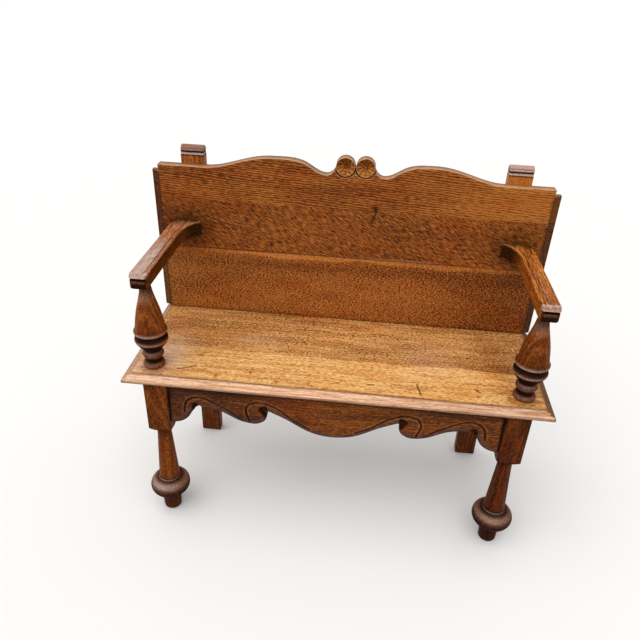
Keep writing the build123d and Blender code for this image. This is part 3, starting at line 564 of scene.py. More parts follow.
def board(outline, thickness, relief, mark, place, nets, lines=(), arris=1.2, rear_arris=1.0):
    """Patches of a board: the face at depth relief(p), a quarter-round arris, the edge and the back.
    The arris goes in by a (1 - sin t) and down by a (1 - cos t) as t runs from 0 to a right angle; mark is
    told sin t as a share of the way round to the edge, below zero on the rear arris."""
    outline = np.array(outline, float)
    nxt, last = np.roll(outline, -1, axis=0), np.roll(outline, 1, axis=0)
    if np.sum(outline[:, 0] * nxt[:, 1] - nxt[:, 0] * outline[:, 1]) < 0:
        outline, nxt, last = outline[::-1], last[::-1], nxt[::-1]
    inward = np.stack([last[:, 1] - nxt[:, 1], nxt[:, 0] - last[:, 0]], axis=-1)
    inward /= np.hypot(*inward.T)[:, None]
    arris = np.broadcast_to(arris, len(outline)) if np.isscalar(arris) else arris(outline)
    face_edge = outline + arris[:, None] * inward
    points, triangles = filled(face_edge, list(lines), nets)
    patches = [(place(points, relief(points)), triangles, mark(points, 0.0))]
    base = relief(face_edge)
    turn = np.linspace(0, np.pi / 2, ARRIS_ROWS)
    ways = list(zip(np.sin(turn), np.cos(turn)))
    rows = [(arris * (1 - s), base + arris * (1 - c), s) for s, c in ways]
    rear = [(rear_arris * (1 - s), thickness - rear_arris * (1 - c), -s) for s, c in ways[::-1]]
    rings, ring_marks = [], []
    for inset, depth, edge in rows + rear:
        ring = outline + np.broadcast_to(inset, len(outline))[:, None] * inward
        rings.append(place(ring, np.broadcast_to(depth, len(ring))))
        ring_marks.append(mark(face_edge, edge))
    # The last ring is welded to the plain back, so the marks of the face must not spread over it.
    ring_marks[-1] = marks(len(outline))
    shape = (len(rings), len(outline))
    patches.append((np.concatenate(rings), grid_faces(*shape, wrap=True), np.concatenate(ring_marks)))
    back_edge = outline + rear_arris * inward
    points, triangles = filled(back_edge, [], [])
    patches.append((place(points, np.full(len(points), thickness)), triangles, marks(len(points))))
    return patches


print("rows round each arris:", ARRIS_ROWS)

# %% [markdown]
# ## The seat
# The seat is two boards glued edge to edge. A plane has run a quirk, which is a narrow step, and a hollow
# bevel along the front and both ends, and they meet in mitres at the corners. The moulding could be a
# profile swept along the edges; as a relief that depends only on the distance to the nearest edge, it
# makes its own mitres.

# %% Seat moulding
seat_low, seat_high = (np.array(corner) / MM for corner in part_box("seat_front_board"))
HALF, NOSE_Y, SEAT_JOINT_Y = seat_high[0], seat_low[1], seat_high[1]
SEAT_TOP, SEAT_THICKNESS = seat_high[2], seat_high[2] - seat_low[2]
EDGE_WIDTH, EDGE_DROP, EDGE_QUIRK, EDGE_HOLLOW = 18.5, 12.0, 2.0, 1.2
QUIRK_ROUND = 0.35
SIT_DIP, SIT_AT, SIT_SIZE = 0.8, (0, -150), (260, 40)


def edge_drop(distance):
    """Depth of the edge moulding: a straight fall from quirk to nose, hollowed by 4 h t (1 - t), and no
    depth past the quirk."""
    t = np.clip(distance / EDGE_WIDTH, 0, 1)
    slope = EDGE_QUIRK + (EDGE_DROP - EDGE_QUIRK) * (1 - t) + 4 * EDGE_HOLLOW * t * (1 - t)
    return slope * np.clip((EDGE_WIDTH + QUIRK_ROUND - distance) / (2 * QUIRK_ROUND), 0, 1)


def soft_patch(points, centre, size):
    """1 in the middle of a patch, falling off as a bell curve of its own width along either axis."""
    return np.exp(-np.sum(((points - centre) / size) ** 2, axis=1))


def seat_distance(points):
    """Distance from the front and from the nearer end of the seat."""
    return points[:, 1] - NOSE_Y, HALF - np.abs(points[:, 0])


def seat_relief(points):
    """The moulding, and a dip of under a millimetre where people sit."""
    front, end = seat_distance(points)
    sat_on = soft_patch(points, SIT_AT, SIT_SIZE) * (front > EDGE_WIDTH)
    return edge_drop(np.minimum(front, end)) + SIT_DIP * sat_on


def on_seat(points, depth):
    """Seat coordinates and depth to bench coordinates."""
    return np.column_stack([points, SEAT_TOP - depth])


print("the moulding falls", round(float(edge_drop(0.0)), 1), "mm from the seat to the nose")

# %% [markdown]
# ## The wear of the seat
# The bevel has lost its colour to hands and knees and carries a painted sheen, a dark line runs along the
# quirk, the nose and the ends take painted shade, and a painted shadow rings each support. The top has
# scratches, small knots, patches that were rubbed bare and patches of painted sheen. A painter would dab them
# on by eye. Listed with their places in millimetres, they can be measured off the real seat and moved one by
# one.

# %% Seat wear
SCRATCHES = [
    [(193, -128), (197, -147), (201, -168)],
    [(76, -145.5), (90, -143.8)],
    [(329, -128), (336, -131), (333, -135), (341, -137)],
    [(-120, 70), (-75, 73), (-32, 72)],
    [(-381, -150), (-360, -141), (-340, -131)],
]
# Small knots as (x, y, radius, darkness), and patches as (x, y, length, depth, paleness, tint): the pale
# patches are worn wood with a painted sheen on it, and the tint shifts a patch's tone.
SPOTS = [(-284, -165, 7, 0.0), (-205, -138.5, 3.5, 0.9), (-139, -167, 6, 0.0)]
SPOTS += [(-63, -161, 6, 0.0), (-341, -82, 6, 0.0)]
PATCHES = [(223, -20, 62, 62, 0.26, -0.04), (-222, 3, 60, 25, 0.40, 0.0), (395, 5, 55, 75, 0.0, -0.26)]
PATCHES += [(-400, 25, 70, 55, 0.0, -0.04), (-418, -95, 40, 75, 0.95, 0.2), (-484, -150, 24, 45, 1.0, 0.3)]
SCRATCH_WIDTH = 1.7
SUPPORT_X, SUPPORT_Y, SUPPORT_SHADOW = 440.5, -138.75, 19.0


def seat_marks(points, edge):
    """Pale on the bevels and in worn patches, where the wood is worn and a sheen is painted on it; dark along
    the quirk and in the scratches; painted shade under the nose and on both end bevels, deepest at the right;
    a painted shadow round the foot of each arm support; amber at the small knots and in front of each
    support.
    The left end is barer."""
    front, end = seat_distance(points)
    near = np.minimum(front, end)
    bevel = near < EDGE_WIDTH
    at_end = bevel & (end < front)
    wear_and_highlight = np.where(bevel & ~at_end, 0.9, 0.0) + np.where(at_end, 0.45 - 0.0006 * points[:, 0], 0.0)
    under = np.clip(-np.broadcast_to(edge, len(points)), 0, 1) * (front < 3)
    wear_and_highlight = np.clip(wear_and_highlight + 0.3 * np.abs(edge) * bevel, 0, 1) * (1 - 0.4 * under)
    dirt_and_shade = 0.9 * bell_curve(near - EDGE_WIDTH + 0.1, 0.5)
    # Painted shade on the nose's wall under the bevel.
    dirt_and_shade = np.maximum(dirt_and_shade, 0.6 * under**2)
    tint = np.zeros(len(points))
    for scratch in SCRATCHES:
        cut = bell_curve(distance_to(points, np.array(scratch, float)), SCRATCH_WIDTH)
        dirt_and_shade, tint = np.maximum(dirt_and_shade, 0.7 * cut), tint - 0.8 * cut
    for x, y, radius, dark in SPOTS:
        spot = bell_curve(np.hypot(points[:, 0] - x, points[:, 1] - y), radius)
        dirt_and_shade, tint = np.maximum(dirt_and_shade, dark * spot), tint - 0.5 * spot
    for x, y, length, depth, bare_and_lit, shade in PATCHES:
        spread = soft_patch(points, (x, y), (length, depth)) * ~bevel
        wear_and_highlight, tint = wear_and_highlight + bare_and_lit * spread, tint + shade * spread
    # Painted shade on both end bevels, deepest at the right, and a front bevel that darkens towards the
    # right.
    dirt_and_shade = np.maximum(dirt_and_shade, np.where(at_end, 0.6 + 0.0005 * points[:, 0], 0.0))
    dirt_and_shade = np.maximum(dirt_and_shade, 0.16 * np.clip((points[:, 0] - 60) / 220, 0, 1) * bevel)
    # Painted shadow on the seat round the foot of each support, and darker amber in front of it.
    support = np.hypot(np.abs(points[:, 0]) - SUPPORT_X, points[:, 1] - SUPPORT_Y)
    dirt_and_shade = np.maximum(dirt_and_shade, 0.8 * bell_curve(np.clip(support - SUPPORT_SHADOW, 0, None), 5))
    tint = tint - 0.5 * bell_curve(support - 30, 14) * (points[:, 1] < -145) * ~bevel
    return marks(len(points), wear_and_highlight, dirt_and_shade, tint)


print("scratches:", len(SCRATCHES), "knots:", len(SPOTS), "patches:", len(PATCHES))

# %% [markdown]
# ## The two boards of the seat
# The front board carries the moulding on three sides. The rear one has it on its ends only, and a tongue that
# reaches back between the uprights. One wide board with a drawn joint would be quicker, but two boards show
# a real gap, and each can have its own wood.

# %% Seat boards
SEAT_REAR_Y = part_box("seat_rear_board")[1].y / MM
POST_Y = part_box("back_lower_board")[1].y / MM
TONGUE_GAP = 0.15
TONGUE_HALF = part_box("rear_post_right")[0].x / MM - TONGUE_GAP


def quirk_lines(front, rear):
    """Lines on the seat at either side of the quirk, back to the depth rear: round the front and both ends,
    or along the ends alone."""
    lines = []
    for inset in (EDGE_WIDTH - QUIRK_ROUND, EDGE_WIDTH + QUIRK_ROUND):
        x = HALF - inset
        if front:
            corner = NOSE_Y + inset
            lines.append(stepped(np.array([(-x, rear), (-x, corner), (x, corner), (x, rear)]), 6))
        else:
            lines += [stepped(np.array([(s * x, SEAT_JOINT_Y + 1.5), (s * x, rear)]), 6) for s in (-1, 1)]
    return lines


def scratch_nets(low, high):
    """Fine nets round the scratches and knots between two depths of the seat."""
    boxes = [(*np.min(s, axis=0), *np.max(s, axis=0)) for s in SCRATCHES]
    boxes += [(x, y, x, y) for x, y, *_ in SPOTS]
    boxes = [box for box in boxes if low < box[1] and box[3] < high]
    return [(x0 - 8, y0 - 6, x1 + 8, y1 + 6, 1.6, 1.6) for x0, y0, x1, y1 in boxes]


mitres = [
    np.array([(s * (HALF - 2.2), NOSE_Y + 2.2), (s * (HALF - EDGE_WIDTH + 1), NOSE_Y + EDGE_WIDTH - 1)])
    for s in (-1, 1)
]
front_corners = [(-HALF, NOSE_Y), (HALF, NOSE_Y), (HALF, SEAT_JOINT_Y), (-HALF, SEAT_JOINT_Y)]
front_corners.append(front_corners[0])
front_nets = scratch_nets(NOSE_Y, SEAT_JOINT_Y)
front_nets.append((-HALF, NOSE_Y, HALF, NOSE_Y + EDGE_WIDTH, 6.0, 2.6))
front_nets += [(x, NOSE_Y, x + EDGE_WIDTH, SEAT_JOINT_Y, 2.6, 6.0) for x in (-HALF, HALF - EDGE_WIDTH)]
front_nets.append((-HALF, NOSE_Y, HALF, SEAT_JOINT_Y, 8.0, 8.0))
front_board = board(
    stepped(np.array(front_corners), 6)[:-1],
    SEAT_THICKNESS,
    seat_relief,
    seat_marks,
    on_seat,
    front_nets,
    quirk_lines(True, SEAT_JOINT_Y - 1.5) + [stepped(m, 3) for m in mitres],
    arris=lambda outline: np.where(outline[:, 1] > SEAT_JOINT_Y - 1, 0.5, 1.5),
)
make_piece("seat_board_front", front_board, OAKS["seat_front"], "seat_front_board")

rear_corners = [(-HALF, SEAT_JOINT_Y), (HALF, SEAT_JOINT_Y), (HALF, POST_Y), (TONGUE_HALF, POST_Y)]
rear_corners += [(TONGUE_HALF, SEAT_REAR_Y), (-TONGUE_HALF, SEAT_REAR_Y), (-TONGUE_HALF, POST_Y)]
rear_corners += [(-HALF, POST_Y), (-HALF, SEAT_JOINT_Y)]
rear_nets = scratch_nets(SEAT_JOINT_Y, SEAT_REAR_Y)
rear_nets += [(x, SEAT_JOINT_Y, x + EDGE_WIDTH, POST_Y, 2.6, 6.0) for x in (-HALF, HALF - EDGE_WIDTH)]
rear_nets.append((-HALF, SEAT_JOINT_Y, HALF, SEAT_REAR_Y, 8.0, 8.0))
rear_board = board(
    stepped(np.array(rear_corners), 6)[:-1],
    SEAT_THICKNESS,
    seat_relief,
    seat_marks,
    on_seat,
    rear_nets,
    quirk_lines(False, POST_Y - 1.5),
    arris=lambda outline: np.where(np.abs(outline[:, 0]) > HALF - 0.01, 1.5, 0.5),
)
make_piece("seat_board_rear", rear_board, OAKS["seat_rear"], "seat_rear_board")

# %% [markdown]
# ## The back boards
# Three boards stand on the seat, one above the other, with the same moulding down both ends. The lower two
# are plain planks, and what tells them apart is their age: a knot has opened into a crack and the joint
# between them has a dark gap. Painted shade lies on the moulded ends and a painted shadow round each arm.
# Each mark could be painted by hand; written as a distance to a line or a point, it stays in its place
# however the surface is divided.

# %% Lower and middle boards of the back
BACK_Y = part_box("back_lower_board")[0].y / MM
BACK_THICKNESS = POST_Y - BACK_Y
LOWER_JOINT, UPPER_JOINT = (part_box(node)[1].z / MM for node in ("back_lower_board", "back_middle_board"))
ARM_END, ARM_SHADOW_WIDTH = (417.0, 712.0), 50.0
CRACK = np.array([(62, 800), (64, 790), (61, 778), (57, 767), (52, 755)], float)
KNOT = (62.0, 797.0, 6.5)


def on_back(points, depth):
    """Back coordinates, x and z, and depth to bench coordinates."""
    return np.column_stack([points[:, 0], BACK_Y + depth, points[:, 1]])


def back_relief(points):
    """The end moulding, and a crack where a knot has opened."""
    crack = 1.2 * bell_curve(distance_to(points, CRACK), 1.3)
    return edge_drop(HALF - np.abs(points[:, 0])) + crack


def back_marks(points, edge):
    """Painted shade on the moulded ends and in the corner along the seat, a painted shadow round each arm
    where it meets the back, a dark crack and knot, and at the lower joint a dark gap with a scuff above it,
    an orange streak under it and a dusky band below."""
    x, z = points.T
    end = HALF - np.abs(x)
    # Painted shade on the moulded ends, darkest at the quirk.
    dirt_and_shade = 0.8 * bell_curve(end - EDGE_WIDTH + 0.2, 1.0) + np.where(end < EDGE_WIDTH, 0.62, 0.0)
    dirt_and_shade = np.maximum(dirt_and_shade, 0.9 * bell_curve(distance_to(points, CRACK), 2.0))
    dirt_and_shade = np.maximum(dirt_and_shade, 0.9 * bell_curve(np.hypot(x - KNOT[0], (z - KNOT[1]) / 1.6), KNOT[2]))
    # Painted shadow round each arm where it meets the back.
    arm_shadow = np.hypot((np.abs(x) - ARM_END[0]) / 1.25, z - ARM_END[1])
    dirt_and_shade = np.maximum(dirt_and_shade, 0.74 * bell_curve(arm_shadow, ARM_SHADOW_WIDTH))
    # Painted shade in the corner where the back stands on the seat.
    dirt_and_shade = np.maximum(dirt_and_shade, 0.4 * bell_curve(z - SEAT_TOP, 7))
    open_joint = 0.55 + 0.4 * bell_curve(x + 290, 130)
    dirt_and_shade = np.maximum(dirt_and_shade, open_joint * bell_curve(z - LOWER_JOINT, 1.5))
    foot = LOWER_JOINT - 14 + 2.5 * np.sin(x / 62 + 0.6) + 2.0 * np.sin(x / 23)
    streak = np.clip((z - foot) / 3.5, 0, 1) * (z < LOWER_JOINT + 0.1) * np.clip((x + 330) / 60, 0.4, 1)
    dusk = bell_curve(z - LOWER_JOINT + 36, 17) * (0.7 + 0.3 * np.sin(x / 140 + 2)) * (z < foot + 1)
    tint = 0.36 * streak - 0.26 * dusk + 0.08 * (z < LOWER_JOINT)
    right = np.clip((x - 120) / 300, 0, 1)
    tint = tint + right * np.where(z > UPPER_JOINT, 0.45, np.where(z > LOWER_JOINT, 0.14, -0.24))
    scuff = 0.7 * bell_curve(z - LOWER_JOINT - 3, 2.2) * np.clip(2.4 - np.abs(x - 140) / 50, 0, 1)
    wear_and_highlight = np.maximum(0.35 * np.abs(edge), scuff)
    return marks(len(points), wear_and_highlight, np.clip(dirt_and_shade, 0, 1), tint)


def end_lines(low, high):
    """Lines beside the quirk down both ends between two heights, and a line across at each height."""
    insets = (EDGE_WIDTH - QUIRK_ROUND, EDGE_WIDTH + QUIRK_ROUND)
    beside = [side * (HALF - inset) for side in (-1, 1) for inset in insets]
    upright = [stepped(np.array([(x, low), (x, high)]), 6) for x in beside]
    across = HALF - EDGE_WIDTH - 2
    return upright + [stepped(np.array([(-across, z), (across, z)]), 8) for z in (low + 0.2, high - 0.2)]


def back_nets(low, high):
    """Nets for a board of the back: close at the end mouldings, the crack and the joint, wider between."""
    nets = [(x, low, x + EDGE_WIDTH, high, 2.6, 6.0) for x in (-HALF, HALF - EDGE_WIDTH)]
    joint = (-HALF, max(low, LOWER_JOINT - 30), HALF, min(high, LOWER_JOINT + 9), 8.0, 1.8)
    return [(46, 748, 74, 812, 1.5, 1.5), *nets, joint, (-HALF, low, HALF, high, 8.0, 6.0)]


for name, node, finish, low, high in (
    ("back_board_lower", "back_lower_board", "lower", SEAT_TOP, LOWER_JOINT),
    ("back_board_middle", "back_middle_board", "middle", LOWER_JOINT, UPPER_JOINT),
):
    corners = [(-HALF, low), (HALF, low), (HALF, high), (-HALF, high), (-HALF, low)]
    patches = board(
        stepped(np.array(corners), 6)[:-1],
        BACK_THICKNESS,
        back_relief,
        back_marks,
        on_back,
        back_nets(low, high),
        end_lines(low + 2, high - 2),
        arris=lambda outline: np.where(np.abs(outline[:, 0]) > HALF - 0.01, 1.2, 0.6),
    )
    make_piece(name, patches, OAKS[finish], node)

# %% [markdown]
# ## The crest and its rosettes
# The top board is sawn to a low double wave with two round heads in the middle. They are carved as rosettes:
# a dished face cut into petals round a button, with a deep crescent under each. Each petal could be modelled
# and copied round, but a cosine of the angle round the head cuts them all at once and evenly.

# %% Crest board with its rosettes
CREST_END, NOTCH = 874.5, 17.0
FLAT_X, SLOPE, HUMP, SHOULDER, VALLEY_X = 366.0, (263.0, 23.0), (200.0, 32.5), (122.0, 23.0), 71.0
ROSETTE_X, ROSETTE_RADIUS, ROSETTE_SPACING = 6.0, 23.5, 49.0
ROSETTE_Z = CREST_END + 23.0
DISH_RADIUS, DISH, BUTTON, PETALS, CUT_DEPTH = 21.6, 8.0, 4.0, 10, 2.2
CRESCENT, CRESCENT_DEPTH = 3.8, 3.4


def crest_half(side):
    """The crest's top edge from one end to the middle: notch, flat, hump, valley and a round head."""
    mid = ROSETTE_X
    flat, hump = (side * FLAT_X, CREST_END), (side * HUMP[0], CREST_END + HUMP[1])
    valley = (mid + side * VALLEY_X, CREST_END)
    head = (mid + side * (ROSETTE_SPACING / 2 + ROSETTE_RADIUS), ROSETTE_Z)
    inner = (mid + side * (ROSETTE_SPACING / 2 - ROSETTE_RADIUS), ROSETTE_Z)
    top = (mid + side * ROSETTE_SPACING / 2, ROSETTE_Z + ROSETTE_RADIUS)
    notch_x = side * (HALF - EDGE_WIDTH)
    end = [(side * HALF, UPPER_JOINT), (side * HALF, CREST_END - NOTCH), (notch_x, CREST_END - NOTCH)]
    slope = (side * SLOPE[0], CREST_END + SLOPE[1])
    shoulder = (mid + side * SHOULDER[0], CREST_END + SHOULDER[1])
    way = (-side, 0)
    rise = smooth([flat, slope, hump], way, way, 40)
    fall = smooth([hump, shoulder, valley], way, way, 40)
    climb = smooth([valley, head], way, (0, 1), 26)
    return joined(end, [(notch_x, CREST_END)], rise, fall, climb, arc(head, top, inner, 70))


def in_rosette(points, side):
    """Radius and height from the middle of one rosette, and how far a point lies in a cut between petals:
    1 where cos(n a / 2) is 0, and nothing on the button."""
    x = points[:, 0] - ROSETTE_X - side * ROSETTE_SPACING / 2
    z = points[:, 1] - ROSETTE_Z
    radius, angle = np.hypot(x, z), np.arctan2(z, x)
    cut = (1 - np.abs(np.cos(PETALS * angle / 2))) ** 2 * np.clip((radius - BUTTON) / 4, 0, 1)
    return radius, z, cut


def rosette_relief(points, side):
    """Depth of one rosette: a cone that deepens to the button, the cuts between petals, a flat rim, and a
    crescent groove below it that is a half sine across."""
    radius, z, cut = in_rosette(points, side)
    cone = DISH * np.clip((DISH_RADIUS - radius) / (DISH_RADIUS - BUTTON), 0, 1)
    button = DISH * (0.45 + 0.55 * np.clip(radius / BUTTON, 0, 1) ** 2)
    cuts = CUT_DEPTH * cut * np.clip((DISH_RADIUS - radius) / 2, 0, 1)
    dish = np.where(radius < BUTTON, button, cone + cuts)
    across = np.clip((radius - ROSETTE_RADIUS + 0.4) / CRESCENT, 0, 1)
    below = np.clip((4 - z) / 12, 0, 1)
    return dish + CRESCENT_DEPTH * np.sin(np.pi * across) * below


def crest_relief(points):
    """End mouldings, crack and both rosettes."""
    return back_relief(points) + rosette_relief(points, -1) + rosette_relief(points, 1)


def crest_marks(points, edge):
    """As the other boards, with a top edge rubbed and lit from above, painted shade on the rear arrises, pale
    rims on the lower half, worn and lit, the lower half of each dish painted paler as it faces the light, and
    dark wax with painted shade between the petals, round the button and in the crescents."""
    found = back_marks(points, edge)
    # The top edge is pale, rubbed and lit from above.
    rubbed_and_lit = np.clip(2 * edge, 0, 1) if np.all(edge >= 0) else 0.35
    found[:, 0] = np.where(points[:, 1] > UPPER_JOINT + 3, rubbed_and_lit, 0.3 * np.abs(edge))
    # Painted shade on the rear arrises.
    found[:, 1] = np.maximum(found[:, 1], 0.55 * np.clip(-2 * edge, 0, 1))
    for side in (-1, 1):
        radius, z, cut = in_rosette(points, side)
        dish = radius < DISH_RADIUS
        lower = np.clip(0.5 - z / 16, 0, 1)
        # Pale rims on the lower half, worn and lit from above.
        rims = 0.75 * bell_curve(radius - ROSETTE_RADIUS - CRESCENT - 0.4, 0.9)
        rims = np.maximum(rims, 0.8 * bell_curve(radius - DISH_RADIUS - 0.6, 1.0)) * lower
        found[:, 0] = np.maximum(np.maximum(found[:, 0], rims), 0.45 * bell_curve(radius, 3.0))
        # Dark wax and painted shade in the crescent, round the button and between the petals.
        groove = 0.95 * bell_curve(radius - ROSETTE_RADIUS - 1.5, 1.4) * (z < 2)
        wax = np.maximum(np.maximum(groove, 0.85 * bell_curve(radius - 3.6, 1.4)), 0.5 * cut * dish)
        found[:, 1] = np.maximum(found[:, 1], wax)
        # The lower half of each dish is painted paler, as it faces up to the light.
        found[:, 2] += np.where(dish, 0.35 * lower - 0.05, 0.0)
    return found


left_edge, right_edge = crest_half(-1), crest_half(1)
crest_outline = stepped(np.concatenate([left_edge, right_edge[::-1], left_edge[:1]]), 6)[:-1]
crest_nets = [(ROSETTE_X - 56, 862, ROSETTE_X + 56, 922, 0.9, 0.9), *back_nets(UPPER_JOINT, CREST_END + 45)]
crest = board(
    crest_outline,
    BACK_THICKNESS,
    crest_relief,
    crest_marks,
    on_back,
    crest_nets,
    end_lines(UPPER_JOINT + 2, CREST_END - NOTCH - 2),
    arris=lambda outline: np.where(outline[:, 1] > UPPER_JOINT + 1, 1.3, 0.6),
)
make_piece("back_board_crest", crest, OAKS["crest"], "back_crest_board")

# %% [markdown]
# ## The uprights
# Two flat posts run from the floor to above the crest and carry the back. Each ends in a small cap: a band,
# a notch across its front and rear, and a bevel that has caught the dust and is painted pale as lit from
# above, with painted shade in the notch. Below the seat the posts take painted shade. A box with bevelled
# edges would be quicker, but then the notch and the rubbed edges need loops of their own; here one loop in
# plan, taken in by a different amount at each height, gives the whole post.

# %% Posts
POST_CORNER, FOOT_ROUND, SCREW_PROUD = 1.1, 5.5, 0.3
# The cap by the distance under its top: its inset at front and rear, its dust with painted light, and the
# painted shade in its grooves.
CAP_SHAPE = [(0, 10.2), (0.4, 9.4), (9, 0.8), (9.8, 0), (12.2, 0), (12.5, 3.2), (16.2, 3.2), (20.9, 0)]
CAP_SHAPE += [(21.3, 0.9), (22.1, 0.9), (22.4, 0)]
CAP_DUST_AND_LIGHT = [(0, 1), (11, 1), (11.8, 0), (16, 0), (16.5, 1), (20.6, 1), (21.2, 0)]
CAP_GROOVE_SHADE = [(0, 0), (5, 0.05), (5.8, 0.65), (7, 0.65), (7.8, 0.1), (10.8, 0.15), (11.6, 0.95), (16, 0.97)]
CAP_GROOVE_SHADE += [(16.4, 0), (20.6, 0), (21.2, 0.9), (22.3, 0.9), (23, 0.2), (30, 0)]
CAP_STEP, CREASE = 0.6, 0.12
BEVEL_FOOT, SHAFT_ROWS = 11.0, 70


def cap_rows():
    """Rows of the cap, from below, as (inset at the sides, inset at front and rear, distance under the top);
    a row close to either side of each crease keeps it crisp."""
    down, inset = np.array(CAP_SHAPE).T
    creases = np.concatenate([down - CREASE, down, down + CREASE])
    rows = np.unique(np.concatenate([creases, np.arange(0, down[-1], CAP_STEP)]).clip(0, down[-1]))[::-1]
    sides = np.interp(rows, (0, 0.5), (0.4, 0))
    flat = [[4, 11.5, 0], [12, 12.5, 0]]
    return np.concatenate([np.column_stack([sides, np.interp(rows, down, inset), rows]), flat])


def post_plan():
    """A rounded rectangle as (share of half width, share of half depth, corner cosine, corner sine)."""
    run, turn = np.linspace(-1, 1, 7), np.linspace(0, np.pi / 2, 6)
    sides = []
    for quarter, (x, y) in enumerate(((1, -1), (1, 1), (-1, 1), (-1, -1))):
        angle = turn + (quarter - 1) * np.pi / 2
        corner = np.column_stack([np.full(6, x), np.full(6, y), np.cos(angle), np.sin(angle)])
        along = np.repeat(corner[-1:], 5, axis=0)
        along[:, 1 - quarter % 2] = -run[1:-1] if quarter in (1, 2) else run[1:-1]
        sides += [corner, along]
    return np.concatenate(sides)


def post_patch(low, high, cap_dust_and_light, shade):
    """A post between two corners of its box: point = centre + shares * (half size - corner - inset) + corner.
    The cap's bevel is as pale as its share of dust and painted light from above, and darker elsewhere;
    painted shade lies in the cap's grooves, down the corners and under the seat, and shade makes the post
    paler upwards."""
    top = high[2]
    rise = np.linspace(0, np.pi / 2, 5)
    foot = np.column_stack([FOOT_ROUND * (1 - np.sin(rise))] * 2 + [FOOT_ROUND * (1 - np.cos(rise))])
    shaft = np.linspace((0, 0, 10), (0, 0, top - 26), SHAFT_ROWS)
    profile = np.concatenate([foot, shaft, cap_rows() * (1, 1, -1) + (0, 0, top)])
    plan = post_plan()
    half = (high[:2] - low[:2]) / 2
    reach = np.maximum(half - POST_CORNER - profile[:, None, :2], 0)
    flat = (low[:2] + high[:2]) / 2 + plan[None, :, :2] * reach + POST_CORNER * plan[None, :, 2:]
    rows = np.concatenate([flat, np.repeat(profile[:, None, 2:], len(plan), axis=1)], axis=-1)
    ends = [np.broadcast_to(rows[end].mean(axis=0), rows[:1].shape) for end in (0, -1)]
    rows = np.concatenate([ends[0], rows, ends[1]])
    height = rows[:, :, 2].mean(axis=1)
    bevel = top - height < BEVEL_FOOT
    wear_and_highlight = np.interp(top - height, *zip(*CAP_DUST_AND_LIGHT)) * np.where(bevel, cap_dust_and_light, 1)
    dirt_and_shade = np.interp(top - height, *zip(*CAP_GROOVE_SHADE))
    dirt_and_shade = np.maximum(dirt_and_shade, 0.75 * (1 - cap_dust_and_light) * bevel)
    # Painted shade under the seat, deepest at the floor, and down the corners.
    dirt_and_shade = np.maximum(dirt_and_shade, np.interp(height, (0, 6, 250, 560), (0.5, 0.25, 0.25, 0.0)))
    edge = (np.abs(plan[:, 2] * plan[:, 3]) > 0.05) * (top - height > 22)[:, None]
    dirt_and_shade = np.maximum(dirt_and_shade[:, None], 0.45 * edge)
    tint = np.repeat(np.interp(height, (300, 870), (-0.6 * shade, shade)), len(plan))
    found = marks(dirt_and_shade.size, np.repeat(wear_and_highlight, len(plan)), dirt_and_shade.ravel(), tint)
    return rows.reshape(-1, 3), grid_faces(*rows.shape[:2], wrap=True), found


for name, cap_dust_and_light, shade in (("left", 0.5, 0.2), ("right", 0.9, 0.48)):
    low, high = (np.array(corner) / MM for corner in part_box("rear_post_" + name))
    high[1] -= SCREW_PROUD
    patch = post_patch(low, high, cap_dust_and_light, shade)
    make_piece("upright_post_" + name, [patch], OAKS["post"], "rear_post_" + name)

# %% [markdown]
# ## The apron
# The apron is the showpiece: a board fretted to a drop in the middle, a pair of C-scrolls and an arch at
# each end. The outline could be traced point by point, but a few marks with a direction at each end give
# the same sweep with no bumps, and one half is enough, because a fretworker flips the same template.

# %% Apron outline
apron_low, apron_high = (np.array(corner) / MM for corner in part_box("front_apron"))
APRON_Y, APRON_THICKNESS = apron_low[1], apron_high[1] - apron_low[1]
APRON_LOW, APRON_TOP = apron_low[2], apron_high[2]
LEG_X, BLOCK_HALF = 433.5, 29.0
APRON_HALF = LEG_X - BLOCK_HALF
# The carved lines and the rims of the two hollows on the right-hand half, as (x, z).
SCROLL_LINE = [(203, 341), (206, 352), (211, 366), (212.5, 378), (210, 389), (202, 398), (188, 403)]
SCROLL_LINE += [(174, 403.5), (156, 400), (139, 392), (118, 377.5), (98, 361), (77, 348), (56, 337)]
ARCH_LINE = [(222, 347), (236, 356), (254, 370), (273, 381), (289, 390), (307, 399), (323, 403.5)]
ARCH_LINE += [(338, 402.5), (352, 396), (360.5, 385), (365, 368), (366.5, 354)]
EYE = [(159, 378), (163, 396.5), (168, 396), (173, 394), (179, 388.5), (182, 382), (178, 375), (172, 369)]
EYE += [(166, 361), (159, 360)]
HOOK = [(321, 372), (325.5, 379), (331, 384.5), (337, 387.5), (345, 383), (347.5, 375), (346, 364)]
HOOK += [(336, 366), (328, 368)]


def apron_edge():
    """The right half of the lower edge: drop, shoulder, the curl of the scroll, its lobe, the arch and its
    hook."""
    low = APRON_LOW
    tip, mouth = (158, low + 63), (160.8, low + 49)
    shoulder = [(61, low + 12.5), (113, low + 42.5), (146, low + 58.5)]
    drop = smooth([(0, low), *shoulder, tip], (1, 0), (1, 0.15), 70)
    curl = smooth([tip, (161, low + 58), mouth], (1, -0.3), (-0.1, -1), 12)
    lobe = smooth([mouth, (165.3, low + 35.5), (176, low + 25.5), (194, low + 20)], (0.1, -1), (1, 0), 44)
    rise = [(236, low + 29.5), (271, low + 48)]
    arch = smooth([(194, low + 20), *rise, (326, low + 57.5)], (1, 0), (1, 0), 70)
    hook = smooth([(326, low + 57.5), (341, low + 50), (354, low + 29.5)], (1, 0), (0.55, -1), 26)
    leave = smooth([(354, low + 29.5), (382, low + 6), (APRON_HALF, low + 2.5)], (0.55, -1), (1, 0), 34)
    return joined(drop, curl, lobe, arch, hook, leave)


